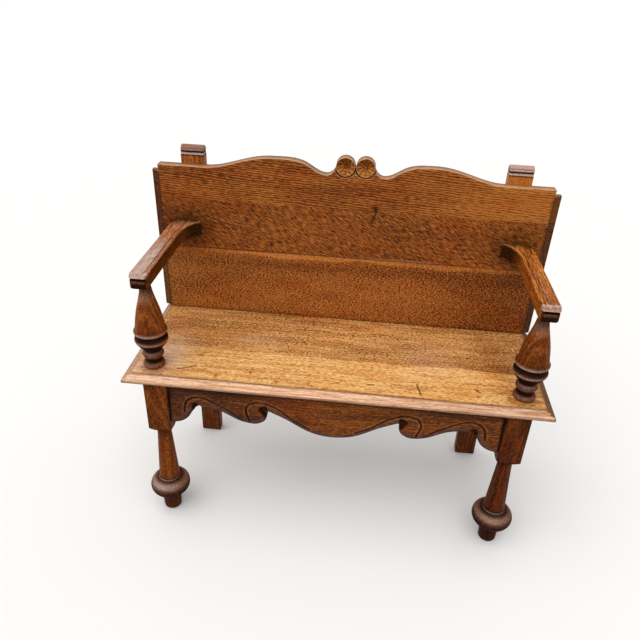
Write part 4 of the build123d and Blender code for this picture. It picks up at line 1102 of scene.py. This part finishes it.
right_half = apron_edge()
scroll_line, arch_line = smooth(SCROLL_LINE, count=70), smooth(ARCH_LINE, count=70)
scoop_rims = [smooth([*rim, rim[0]], count=60) for rim in (EYE, HOOK)]
print("half of the apron's edge is", round(np.hypot(*np.diff(right_half, axis=0).T).sum()), "mm long")

# %% [markdown]
# ## The carving of the apron
# A carver has cut a line beside the edge, rounded the band between the two, and scooped out the eye of each
# scroll and the end of each arch. Sculpting it by hand would do, but the two halves would differ; here the
# depth is worked out from the distance to the carved lines and to the edge, with the sign of x dropped.

# %% Apron carving
GROOVE_DEPTH, GROOVE_WIDTH, BAND_ROUND, BAND_FALL = 3.4, 2.5, 11.0, 5.0
SCOOP_DEPTH, SCOOP_WALL = 9.0, 3.0


def folded(points):
    """Both halves of the apron laid on the right-hand one."""
    return np.column_stack([np.abs(points[:, 0]), points[:, 1]])


def apron_lines(points):
    """Distances to the nearer carved line and to the lower edge."""
    half = folded(points)
    line = np.minimum(distance_to(half, scroll_line), distance_to(half, arch_line))
    return line, distance_to(half, right_half)


def scooped(points):
    """How far into the hollow at the eye of the scroll, or at the end of the arch, a point lies, from 0 to
    1 at a wall's width from the rim."""
    half = folded(points)
    deep = [np.clip(distance_to(half, rim) / SCOOP_WALL, 0, 1) * inside(half, rim) for rim in scoop_rims]
    return np.maximum(*deep)


def apron_relief(points):
    """A groove that is a bell curve across, a quarter-round fall towards the lower edge, and two hollows."""
    line, edge = apron_lines(points)
    t = np.clip(edge / BAND_ROUND, 0, 1)
    band = BAND_FALL * (1 - np.sqrt(1 - (1 - t) ** 2))
    return np.maximum(band, SCOOP_DEPTH * scooped(points)) + GROOVE_DEPTH * bell_curve(line, GROOVE_WIDTH)


def apron_marks(points, edge):
    """Dark wax and painted shade in the grooves; painted shade in the hollows, round the edge, beside each
    block and under the seat; rubbed wood and a painted highlight on the rounded band and by the carved line.
    """
    line, low = apron_lines(points)
    # A painted shadow fills the gap beside each leg's block, wider upwards.
    gap = 1.4 + 1.4 * (points[:, 1] - APRON_LOW) / (APRON_TOP - APRON_LOW)
    top = APRON_TOP - points[:, 1]
    # Dark wax and painted shade in the carved line, and painted shadow under the seat's nose.
    dirt_and_shade = np.maximum(0.97 * bell_curve(line, 2.2), 0.35 * np.exp(-((top / 36) ** 4)))
    dirt_and_shade = np.maximum(dirt_and_shade, 0.95 * np.exp(-((top / 25.5) ** 10)))
    hollow = scooped(points)
    # Painted shade in the hollows, on the arrises and along the lower edge, where the band turns under.
    dirt_and_shade = np.maximum(np.maximum(dirt_and_shade, 0.97 * np.sqrt(hollow) - 0.25 * hollow**4), 0.7 * edge**2)
    dirt_and_shade = np.maximum(dirt_and_shade, 0.97 * np.clip(gap - (APRON_HALF - np.abs(points[:, 0])) / 4, 0, 1))
    dirt_and_shade = np.maximum(dirt_and_shade, 0.75 * bell_curve(low, 3.2))
    band = np.clip((15 - low) / 4, 0, 1)
    # A painted highlight beside the carved line, paler in the middle, darker on the left, and painted shade
    # on the band.
    tint = 0.22 * bell_curve(line - 5, 2.5) * (1 - band) - 0.16 * band + 0.22 * bell_curve(points[:, 0], 120)
    tint = tint - 0.04 - 0.12 * np.clip((-points[:, 0] - 120) / 80, 0, 1)
    wear_and_highlight = 0.18 * bell_curve(line - 4.5, 1.4) + 0.24 * band
    return marks(len(points), wear_and_highlight * (hollow == 0), dirt_and_shade, tint)


def on_apron(points, depth):
    """Apron coordinates, x and z, and depth to bench coordinates."""
    return np.column_stack([points[:, 0], APRON_Y + depth, points[:, 1]])


left_half = right_half[::-1] * (-1, 1)
top_corners = [(APRON_HALF, APRON_TOP), (-APRON_HALF, APRON_TOP)]
apron_outline = stepped(np.concatenate([joined(left_half, right_half, top_corners), left_half[:1]]), 5)[:-1]
hollow_spans = ((-350, -318), (-186, -156), (156, 186), (318, 350))
apron_nets = [(left, 355, right, 401, 1.0, 1.0) for left, right in hollow_spans]
apron_nets.append((-APRON_HALF, APRON_LOW, APRON_HALF, APRON_LOW + 95, 1.9, 1.9))
apron_nets.append((-APRON_HALF, APRON_TOP - 32, APRON_HALF, APRON_TOP - 18, 7.0, 2.0))
apron_nets.append((-APRON_HALF, APRON_LOW, APRON_HALF, APRON_TOP, 7.0, 7.0))
apron = board(apron_outline, APRON_THICKNESS, apron_relief, apron_marks, on_apron, apron_nets, arris=0.9)
make_piece("carved_apron", apron, OAKS["apron"], "front_apron")

# %% [markdown]
# ## Turned work
# Legs and arm supports come off the lathe: a profile of beads, coves and fillets spun round an axis. Above
# the column the leg stays square, and the lathe leaves a curved shoulder where it met the corners. A Screw
# modifier can spin a profile, but it can't leave a part square. Written in polar form, the shoulder is just
# the smaller of two radii, the profile's and the square's, so one grid makes both. A blurred copy of the
# profile tells what stands out and is rubbed pale, with a painted highlight on it, and what lies deep and
# holds wax, with painted shade in it.

# %% Turned surfaces
TURN_STEPS, PROFILE_STEP = 96, 0.8
# Blurs of the profile, in steps: one softens the turning, and one finds what stands proud.
PROFILE_SOFT, PROUD_OVER = 0.9, 5.0
SHOULDER_Z, SHOULDER_SOFT, NO_LIMIT = 286.0, 1.5, 200.0
CORNER_POWER, CORNER_SHADE = 34, 0.07
# The side of the turnings where the painted highlight lies.
HIGHLIGHT_SIDE = math.radians(255)


def blurred(values, width):
    """Running mean with a bell-shaped weight along the first axis; the ends are held."""
    reach = int(3 * width) + 1
    weights = bell_curve(np.arange(-reach, reach + 1), width)
    padded = np.concatenate([values[:1].repeat(reach, 0), values, values[-1:].repeat(reach, 0)])
    weights = weights / weights.sum()
    return np.stack([np.convolve(column, weights, mode="valid") for column in padded.T], axis=-1)


def even(path, step):
    """The path again with points at an even spacing."""
    length = np.concatenate([[0], np.cumsum(np.hypot(*np.diff(path, axis=0).T))])
    place = np.linspace(0, length[-1], int(length[-1] / step) + 2)
    return np.stack([np.interp(place, length, path[:, k]) for k in (0, 1)], axis=-1)


def square_radius(angle, half):
    """Radius of a square with soft corners: half / (|cos a|^p + |sin a|^p)^(1/p) with a large p."""
    sides = np.abs(np.cos(angle)) ** CORNER_POWER + np.abs(np.sin(angle)) ** CORNER_POWER
    return half / sides ** (1 / CORNER_POWER)


def turning(profile, axis, rubbed_and_lit, waxed_and_shaded, square=None, shade=0.0):
    """A profile of (radius, height) spun round an upright axis: x = r cos a, y = r sin a. Above the shoulder,
    square cuts it to the lesser of its radius and a block's, with a soft meeting. The two lists give by
    height the wear with its painted highlight, strongest on the side of the highlight, and the dark wax with
    its painted shade; the block's corners take painted shade too."""
    path = even(profile, PROFILE_STEP)
    body = blurred(path, PROFILE_SOFT)
    body[0], body[-1] = path[0], path[-1]
    way = np.gradient(body, axis=0)
    outward = np.stack([way[:, 1], -way[:, 0]], axis=-1) / (np.hypot(*way.T)[:, None] + 1e-9)
    proud = np.sum((body - blurred(body, PROUD_OVER)) * outward, axis=1)
    angle = np.arange(TURN_STEPS) * 2 * np.pi / TURN_STEPS
    radius = np.repeat(body[:, :1], TURN_STEPS, axis=1)
    if square:
        limit = square_radius(angle, square)[None, :] + NO_LIMIT * (body[:, 1:] < SHOULDER_Z - 20)
        soft = np.clip(0.5 + 0.5 * (limit - radius) / SHOULDER_SOFT, 0, 1)
        radius = limit * (1 - soft) + radius * soft - SHOULDER_SOFT * soft * (1 - soft)
        radius = np.maximum(radius, 0) * (body[:, :1] > 1e-6)
    height = np.repeat(body[:, 1:], TURN_STEPS, axis=1)
    points = [axis[0] + radius * np.cos(angle), axis[1] + radius * np.sin(angle), height]
    # Proud parts are worn and lit; deep parts hold wax and painted shade.
    rub_and_glint = np.maximum(0.5 * np.clip(proud / 0.7, 0, 1), np.interp(body[:, 1], *zip(*rubbed_and_lit)))
    wax = np.maximum(0.8 * np.clip(-proud / 0.8, 0, 1), np.interp(body[:, 1], *zip(*waxed_and_shaded)))
    # The painted highlight fades away from its side.
    toward_highlight = 0.2 + 0.8 * (0.5 + 0.5 * np.cos(angle - HIGHLIGHT_SIDE)) ** 3
    wear_and_glint, wax = rub_and_glint[:, None] * toward_highlight, np.repeat(wax[:, None], TURN_STEPS, axis=1)
    if square:
        block = body[:, 1:] > SHOULDER_Z - 8
        wear_and_glint = wear_and_glint * ~block
        # Painted shade down the block's corners.
        corner = (angle - np.pi / 4) % (np.pi / 2)
        corner = np.minimum(corner, np.pi / 2 - corner)
        wax = np.maximum(wax, block * 0.6 * bell_curve(corner, CORNER_SHADE))
    faces = grid_faces(len(body), TURN_STEPS, wrap=True)
    found = marks(wear_and_glint.size, wear_and_glint.ravel(), wax.ravel(), shade)
    return np.stack(points, axis=-1).reshape(-1, 3), faces, found


print("one step round a 30 mm radius is", round(2 * np.pi * 30 / TURN_STEPS, 2), "mm")

# %% [markdown]
# ## The arm supports
# From the seat up, a support has a flat bead, a small vase, a broad ring with a cove cut into it, and a neck
# that tapers to the arm. It could be built up from one primitive for each ring, but a turner works from a
# profile on a strip of card, and the profile below is that card. On old turned work the rings are rubbed pale
# and the coves are full of wax, so two more lists give both by height; they also paint highlights on the
# tops of the bead and the base, and shade in the coves, under the ring and under the arm.

# %% Arm supports
support_profile = joined(
    [(0, 470), (19.5, 470)],
    arc((19.5, 470), (26, 477), (19.5, 484)),
    [(15.5, 485), (15.5, 491)],
    smooth([(15.5, 491), (25.6, 504)], (1, 0.5), (0.5, 1)),
    smooth([(25.6, 504), (17, 516.5)], (0, 1), (-1, 0.5)),
    [(16.5, 518)],
    smooth([(16.5, 518), (39.3, 544)], (1, 0.5), (0.4, 1)),
    [(39.3, 549)],
    arc((39.3, 549), (33, 557.5), (39.3, 566)),
    [(39.3, 571)],
    smooth([(39.3, 571), (34.5, 581)], (-1, 0.5), (-0.12, 1)),
    smooth([(34.5, 581), (27.3, 623), (17, 662), (11.5, 694)], count=90),
    [(0, 694)],
)
# Worn rims and painted highlights by height, then wax and painted shade by height.
SUPPORT_WEAR_AND_HIGHLIGHT = [(470.5, 0.0), (472, 0.6), (475, 0.2), (480, 0.5), (483, 0.2), (502, 0.0), (504.5, 0.6)]
SUPPORT_WEAR_AND_HIGHLIGHT += [(507, 0.25), (510, 0.7), (513, 0.5), (516, 0.0), (542, 0.0), (543.5, 1.0), (546, 0.9)]
SUPPORT_WEAR_AND_HIGHLIGHT += [(548, 0.2), (564, 0.0), (566, 1.0), (569, 1.0), (572, 0.2), (576, 0.0)]
SUPPORT_WEAR_AND_HIGHLIGHT += [(640, 0.0), (664, 0.4), (682, 0.3), (694, 0.0)]
SUPPORT_WAX_AND_SHADE = [(470.4, 0.9), (471.2, 0.3), (483, 0.3), (485, 0.97), (491, 0.97), (494, 0.6), (503, 0.4)]
SUPPORT_WAX_AND_SHADE += [(507, 0.5), (513, 0.3), (515.5, 0.9), (522, 0.97), (540, 0.95), (543, 0.0), (546, 0.0)]
SUPPORT_WAX_AND_SHADE += [(548.5, 0.5), (551, 0.93), (563.5, 0.97), (565.5, 0.0), (571, 0.0), (573, 0.5), (582, 0.1)]
SUPPORT_WAX_AND_SHADE += [(655, 0.0), (680, 0.5), (694, 0.85)]
for side, name in ((-1, "left"), (1, "right")):
    patch = turning(support_profile, (side * SUPPORT_X, SUPPORT_Y), SUPPORT_WEAR_AND_HIGHLIGHT, SUPPORT_WAX_AND_SHADE)
    make_piece("turned_support_" + name, [patch], OAKS["turned"], "arm_support_" + name)

# %% [markdown]
# ## The front legs
# A leg has a small foot, a bulb like a squashed ball, a collar and a slim column that widens downwards, and
# stays square at the top where the apron and the rails are tenoned in. The square could be a second piece,
# but on the real leg it is the same wood. The grey on top of the bulb is a painted highlight, and painted
# shade lies under the bulb, at the shoulder and under the seat. The two blanks weren't alike, so each leg has
# its own oak, and the right leg is painted darker, as the side away from the light.

# %% Front legs
LEG_Y = -146.25
FOOT_FLAT, FOOT_TOE = 16.0, 7.0
BULB, BULB_Z = (52.0, 34.0), 84.0
BULB_NECK, COLLAR, COLLAR_HEIGHT, COLUMN_FOOT, COLUMN_TOP = 25.5, 29.0, 3.0, 27.0, 16.5
BLOCK_OUTSIDE = 43.5
toe = FOOT_TOE * math.sqrt(0.5)
bulb_angle = np.linspace(-math.acos(BULB_NECK / BULB[0]), math.acos(COLLAR / BULB[0]), 60)
bulb = np.stack([BULB[0] * np.cos(bulb_angle), BULB_Z + BULB[1] * np.sin(bulb_angle)], axis=-1)
collar_z, leg_top = bulb[-1, 1] + COLLAR_HEIGHT, SEAT_TOP - SEAT_THICKNESS
leg_profile = joined(
    [(0, 0), (FOOT_FLAT, 0)],
    arc((FOOT_FLAT, 0), (FOOT_FLAT + toe, FOOT_TOE - toe), (FOOT_FLAT + FOOT_TOE, FOOT_TOE)),
    bulb,
    [(COLLAR, collar_z), (COLUMN_FOOT, collar_z), (COLUMN_TOP, SHOULDER_Z)],
    arc((COLUMN_TOP, SHOULDER_Z), (29, SHOULDER_Z + 3.5), (BLOCK_OUTSIDE, SHOULDER_Z + 10)),
    [(BLOCK_OUTSIDE, leg_top), (0, leg_top)],
)
# A painted highlight across the top of the bulb and worn wood at the collar; then a dark foot and painted
# shade under the bulb, at the shoulder under the block and under the seat.
LEG_WEAR_AND_HIGHLIGHT = [(84, 0.0), (93, 0.25), (99, 0.75), (105, 0.85), (109, 0.3), (111, 0.1), (113, 0.9)]
LEG_WEAR_AND_HIGHLIGHT += [(115, 0.8), (117, 0.0)]
LEG_WAX_AND_SHADE = [(0, 0.85), (8, 0.6), (46, 0.7), (54, 0.97), (70, 0.93), (84, 0.85), (93, 0.5), (99, 0.15)]
LEG_WAX_AND_SHADE += [(105, 0.2), (109, 0.6), (112, 0.95), (114, 0.1), (116, 0.9), (122, 0.1), (250, 0.0)]
LEG_WAX_AND_SHADE += [(278, 0.45), (284, 0.9), (290, 0.9), (297, 0.15), (420, 0.0), (450, 0.8)]
# The right leg's darker tint is painted shade, on the side away from the light.
for side, name, finish, shade in ((-1, "left", "leg", 0.08), (1, "right", "turned", -0.14)):
    axis = (side * LEG_X, LEG_Y)
    patch = turning(leg_profile, axis, LEG_WEAR_AND_HIGHLIGHT, LEG_WAX_AND_SHADE, square=BLOCK_HALF, shade=shade)
    make_piece("turned_leg_" + name, [patch], OAKS[finish], "front_leg_" + name)

# %% [markdown]
# ## The shape of the arms
# Each arm runs straight back from its moulded front end and then sweeps in to the back. A scratched line
# follows the inner edge, and the front end has a bevel, a deep hollow under it and a set-back lower face. A
# curve object with a bevel shape could be swept along, but its width would stay the same. In plan the arm
# lies between an inner and an outer curve, so here a section is carried along and stretched between them.

# %% Arm shape
ARM_TOP, ARM_UNDER = 730.0, 694.0
ARM_INNER, ARM_OUTER, ARM_FLARE = 420.5, 460.5, 1.5
ARM_FRONT_Y, ARM_BEND_Y, ARM_TIP_Y = -176.25, 58.75, 138.25
ARM_SWEEP, ARM_OUTER_SWEEP, ARM_CORNER = 36.0, 11.0, 6.0
ARM_ARRIS, ARM_INNER_ARRIS = 2.6, 4.6
LINE_IN, LINE_WIDTH, LINE_DEPTH, LINE_STOP = 9.5, 1.3, 1.6, 6.0
BEVEL_Z, HOLLOW_Z, HOLLOW_DEPTH, LOWER_DEPTH, END_FADE = 721.0, 712.0, 6.0, 3.0, 26.0
# Rows of the skin behind the front end, heights up its sides, and offsets over its top, close where it bends.
FRONT_ROWS = [0, 0.6, 1.5, 3, 4.5, 6, 8, 11, 15, 20, 26]
SIDE_LEVELS = np.array([700, 704, 708, 709, 710, 711, 712, 712.6, 714, 716.5, 719, 720.4, 721, 722, 723.5])
TOP_OFFSETS = np.array([5.6, 6.6, 7.4, 8.2, 8.8, 9.5, 10.2, 10.8, 11.6, 12.6, 14.0])
TOP_SHARES = np.array([0.35, 0.5, 0.65])


def arm_end_depth(z):
    """How far the front end stands back at a height: a 45 degree bevel, a half ellipse as the hollow, and
    the lower face."""
    bevel = np.clip(z - BEVEL_Z, 0, ARM_TOP - BEVEL_Z)
    middle, half = (BEVEL_Z + HOLLOW_Z) / 2, (BEVEL_Z - HOLLOW_Z) / 2
    hollow = HOLLOW_DEPTH * np.sqrt(np.clip(1 - ((z - middle) / half) ** 2, 0, 1))
    lower = np.where(z <= HOLLOW_Z, LOWER_DEPTH, 0.0)
    return np.maximum(np.maximum(bevel, hollow * (z < BEVEL_Z) * (z > HOLLOW_Z)), lower)


def arm_sides():
    """Points of the inner and the outer curve in plan, in step with each other from front to back: straight
    lines, then a quarter ellipse inside and a smooth curve outside."""
    straight = np.concatenate([FRONT_ROWS, np.linspace(34, ARM_BEND_Y - ARM_FRONT_Y, 26)])
    flare = ARM_FLARE * (1 - straight / straight[-1])
    inner = [np.column_stack([np.full(len(straight), ARM_INNER), ARM_FRONT_Y + straight])]
    outer = [np.column_stack([ARM_OUTER + flare, ARM_FRONT_Y + straight])]
    turn, tip_x = np.linspace(0, np.pi / 2, 30)[1:], ARM_INNER - ARM_SWEEP
    sweep = [tip_x + ARM_SWEEP * np.cos(turn), ARM_BEND_Y + (ARM_TIP_Y - ARM_BEND_Y) * np.sin(turn)]
    inner += [np.column_stack(sweep), [(tip_x, BACK_Y)]]
    rear = (ARM_OUTER - ARM_OUTER_SWEEP, BACK_Y)
    outer.append(smooth([(ARM_OUTER, ARM_BEND_Y), rear], (0, 1), (-0.6, 1), len(turn) + 2)[1:])
    return np.concatenate(inner), np.concatenate(outer)


def arm_section():
    """The section as a loop of (share of the width, offset across in mm, height): up the inner side, over
    the top, down the outer side and back underneath. Returns it with the number of points up and over."""
    t = np.linspace(0, np.pi / 2, 6)

    def flank(r):
        across = np.concatenate([r * (1 - np.sin(t)), np.zeros(len(SIDE_LEVELS)), r * (1 - np.cos(t))])
        low, high = ARM_UNDER + r - r * np.cos(t), ARM_TOP - r + r * np.sin(t)
        return across, np.concatenate([low, SIDE_LEVELS, high])

    across = np.concatenate([TOP_OFFSETS, np.zeros(len(TOP_SHARES)), -TOP_OFFSETS[::-1]])
    shares = np.concatenate([np.zeros(len(TOP_OFFSETS)), TOP_SHARES, np.ones(len(TOP_OFFSETS))])
    groove = LINE_DEPTH * bell_curve(across - LINE_IN, LINE_WIDTH) * (shares == 0)
    side_in, side_up = flank(ARM_INNER_ARRIS)
    inner = np.column_stack([np.zeros(len(side_in)), side_in, side_up])
    top = np.column_stack([shares, across, ARM_TOP - groove])
    side_in, side_up = flank(ARM_ARRIS)
    outer = np.column_stack([np.ones(len(side_in)), -side_in, side_up])[::-1]
    under = np.column_stack([shares, across, np.full(len(shares), ARM_UNDER)])[::-1]
    return np.concatenate([inner, top, outer, under]), len(inner), len(top)


def arm_skin(side, section):
    """Rows of the skin from front to back: point = inner + share * (outer - inner) + offset across. The front
    corners are rounded in plan, the scratched line stops short of the front, and the end's depth fades out
    behind it. Returns the rows, and how far each is from the front and, along the arm, from the back."""
    inner, outer = arm_sides()
    gone = inner[:, 1] - ARM_FRONT_Y
    rounding = np.clip(ARM_CORNER**2 - np.clip(ARM_CORNER - gone, 0, None) ** 2, 0, None)
    corner = ARM_CORNER - np.sqrt(rounding)
    width = outer - inner
    across = width / np.hypot(*width.T)[:, None]
    inner, outer = inner + corner[:, None] * across, outer - corner[:, None] * across
    shrink = np.hypot(*(outer - inner).T) / np.hypot(*width.T)
    offsets = (across * shrink[:, None])[:, None] * section[None, :, 1:2]
    plan = inner[:, None] + (outer - inner)[:, None] * section[None, :, :1] + offsets
    _, offset, level = section.T
    groove = np.where(offset > ARM_INNER_ARRIS, np.clip(ARM_TOP - level, 0, LINE_DEPTH), 0)
    groove = groove * (level > ARM_TOP - LINE_DEPTH - 0.01)
    z = level + groove * np.clip(1 - gone / LINE_STOP, 0, 1)[:, None]
    plan[..., 1] += arm_end_depth(z) * np.clip(1 - gone / END_FADE, 0, 1)[:, None]
    step = np.hypot(*np.diff(inner, axis=0).T)
    to_back = np.concatenate([np.cumsum(step[::-1])[::-1], [0]])
    return np.concatenate([plan * (side, 1), z[..., None]], axis=-1), gone[:, None], to_back[:, None]


print("points round the arm's section:", len(arm_section()[0]))

# %% [markdown]
# ## The wear of the arms
# Hands have taken the wax off the left arm's top and off both bevels, and a sheen is painted on the bare
# wood. Wax is left in the scratched line. Painted shade lies in the hollow of the front end and on its lower
# face, along the inner side and where the arm meets the back. This could be a painted mask, but the section
# already knows which point lies on the top, the side or the line, so the marks follow from it.

# %% Arm wear and ends
# The pale bevel begins just under its lower edge, and the painted shade of the hollow ends just above its
# own.
PALE_Z, SHADE_Z = BEVEL_Z - 0.4, HOLLOW_Z + 0.2
# Each arm as (side, name, how bare and sheened the top, how pale the bevel, how dark the line, how deep the
# painted shade on the inner side).
ARM_WEAR = [(-1, "left", 0.9, 0.9, 0.95, 0.7), (1, "right", 0.0, 0.4, 0.6, 0.1)]


def bevel_wear_and_light(z, least):
    """Paleness of the front bevel by height, worn and lit: most along both of its edges, less between them.
    """
    edges = np.maximum(bell_curve(z - BEVEL_Z - 0.2, 1.3), bell_curve(z - ARM_TOP + 0.4, 1.5))
    return least + (1 - least) * edges


def arm_marks(section, gone, to_back, top_wear_and_sheen, bevel_wear_and_sheen, line_dark, side_shade):
    """Marks of the skin: bare wood with a painted sheen along the top, the arris, the bead beside the line
    and the front bevel; dark wax in the line; painted shade along the inner side, round the rear end where
    the arm meets the back, and under the front bevel."""
    share, offset, level = section.T
    inside_half = share == 0
    top = level > ARM_TOP - 1.2
    low_side = (level < ARM_TOP - 4) & inside_half
    bead = bell_curve(offset - 5.0, 1.6) * inside_half * top
    arris = bell_curve(level - ARM_TOP + 1.0, 1.0) * (np.abs(offset) < 2)
    bare_and_lit = top_wear_and_sheen * top * np.where(inside_half & (offset < LINE_IN - 0.8), 0.25, 1.0)
    wear_and_highlight = bare_and_lit * np.clip((to_back - 100) / 130, 0.12, 1) + (0.1 + 0.3 * top_wear_and_sheen) * arris
    wear_and_highlight = wear_and_highlight + (0.06 + 0.8 * bell_curve(to_back, 60)) * bead
    front_bevel = bevel_wear_and_light(level, bevel_wear_and_sheen) * (level > PALE_Z) * np.clip(2 - gone / 5, 0, 1)
    wear_and_highlight = np.clip(np.maximum(wear_and_highlight, front_bevel), 0, 1)
    line = line_dark * bell_curve(offset - LINE_IN, 1.0) * inside_half * (level > ARM_TOP - 3)
    # Painted shade round the rear end, along the inner side and under the front bevel.
    dirt_and_shade = np.maximum(line * np.clip(gone / 8 - 0.5, 0, 1), 0.75 * bell_curve(to_back, 26) * (1 - bead))
    dirt_and_shade = np.maximum(dirt_and_shade, 0.93 * np.exp(-((to_back / 82) ** 4)) * low_side)
    dirt_and_shade = np.maximum(dirt_and_shade, side_shade * low_side)
    dirt_and_shade = np.maximum(dirt_and_shade, 0.95 * (level < PALE_Z) * np.clip(1 - gone / 5, 0, 1))
    return marks(wear_and_highlight.size, wear_and_highlight.ravel(), np.clip(dirt_and_shade, 0, 1).ravel())


def arm_front(first_row, up_count, top_count, bevel_wear_and_sheen):
    """The front end, a grid ruled between the four sides of the skin's first row: (1 - u) inner + u outer +
    (1 - v) under + v over, less the same mix of the four corners, set back by the end's depth."""
    loop = first_row[:, [0, 2]]
    up_side, over = loop[:up_count], loop[up_count - 1 : up_count + top_count + 1]
    down_side = loop[up_count + top_count : 2 * up_count + top_count][::-1]
    under = np.concatenate([up_side[:1], loop[-top_count:][::-1], down_side[:1]])
    u = np.linspace(0, 1, len(over))[None, :, None]
    v = np.linspace(0, 1, up_count)[:, None, None]
    ruled = (1 - u) * up_side[:, None] + u * down_side[:, None] + (1 - v) * under[None] + v * over[None]
    corners = (1 - v) * ((1 - u) * under[0] + u * under[-1]) + v * ((1 - u) * over[0] + u * over[-1])
    x, height = (ruled - corners).reshape(-1, 2).T
    end = np.column_stack([x, ARM_FRONT_Y + arm_end_depth(height), height])
    # The bevel is pale, worn and lit, with a pale line on the lower face; the hollow and the lower face take
    # painted shade.
    pale = bevel_wear_and_light(height, bevel_wear_and_sheen) * (height > PALE_Z) + 0.5 * bell_curve(height - 710.5, 1.2)
    dark = np.where((height < PALE_Z) & (height > SHADE_Z), 0.99, 0.0) + np.where(height <= SHADE_Z, 0.6, 0.0)
    dark = np.maximum(dark, 0.97 * np.clip((707.5 - height) / 1.5, 0, 1))
    return end, grid_faces(up_count, len(over)), marks(len(end), pale, dark)


for side, name, top_wear_and_sheen, bevel_wear_and_sheen, line_dark, side_shade in ARM_WEAR:
    section, up_count, top_count = arm_section()
    skin, gone, to_back = arm_skin(side, section)
    found = arm_marks(section, gone, to_back, top_wear_and_sheen, bevel_wear_and_sheen, line_dark, side_shade)
    patches = [(skin.reshape(-1, 3), grid_faces(*skin.shape[:2], wrap=True), found)]
    patches.append(arm_front(skin[0], up_count, top_count, bevel_wear_and_sheen))
    tail, centre = skin[-1], skin[-1].mean(axis=0)
    rings = np.concatenate([centre + share * (tail - centre) for share in (1.0, 0.5, 0.0)])
    patches.append((rings, grid_faces(3, len(section), wrap=True), marks(len(rings))))
    make_piece("swept_arm_" + name, patches, OAKS["arm"], "arm_" + name)

# %% [markdown]
# ## Hidden joinery
# Rails, glue blocks, dowels and screws do their work out of sight. Their solid shapes are already as a joiner
# would make them, so only the finish is new: unwaxed oak, pale beech pegs and dull steel.

# %% Finishes of the pieces that keep their solid shape
# Beech rods as bought: pale, close-grained and dry.
beech_shades, beech_weights = ("#b58a5c", "#cda577", "#ddbc92"), (0.6, 0.0, 0.5, 0.8, 0)
pegs = oak("pale_beech", beech_shades, "x", "#fff0d8", beech_weights, pore_depth=0.1)

# Drawn steel, gone dull: grey with darker smears and a broken gleam.
STEEL_SMEAR = 2 * MM
steel = bpy.data.materials.new("dull_steel")
tree = empty_tree(steel)
place = add(tree, "TexCoord").outputs["Object"]
smear = add(tree, "TexNoise", {"Vector": place, "Scale": 1 / STEEL_SMEAR, "Detail": 3.0}).outputs[0]
tone = add(tree, "Mix", {0: smear, 6: linear("#3f3a36"), 7: linear("#8d8781")}, data_type="RGBA").outputs[2]
gloss = add(tree, "MapRange", {0: smear, 3: 0.55, 4: 0.32}).outputs[0]
dent = add(tree, "Bump", {"Strength": 0.2, "Distance": 0.1 * MM, "Height": smear}).outputs[0]
inputs = {"Base Color": tone, "Metallic": 1.0, "Roughness": gloss, "Normal": dent}
metal = add(tree, "BsdfPrincipled", inputs)
add(tree, "OutputMaterial", {"Surface": metal.outputs[0]})

FINISH = {"rear_rail": OAKS["frame"], "corner_block": OAKS["frame"], "side_rail": OAKS["side"]}
FINISH |= {"seat_dowels": pegs, "back_dowels": pegs}
FINISH |= {"seat_screws": steel, "back_screws": steel, "arm_screws": steel}
for node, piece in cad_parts.items():
    for start, finish in FINISH.items():
        if node.startswith(start):
            piece.data.materials.clear()
            piece.data.materials.append(finish)
            print(node, "is", finish.name)
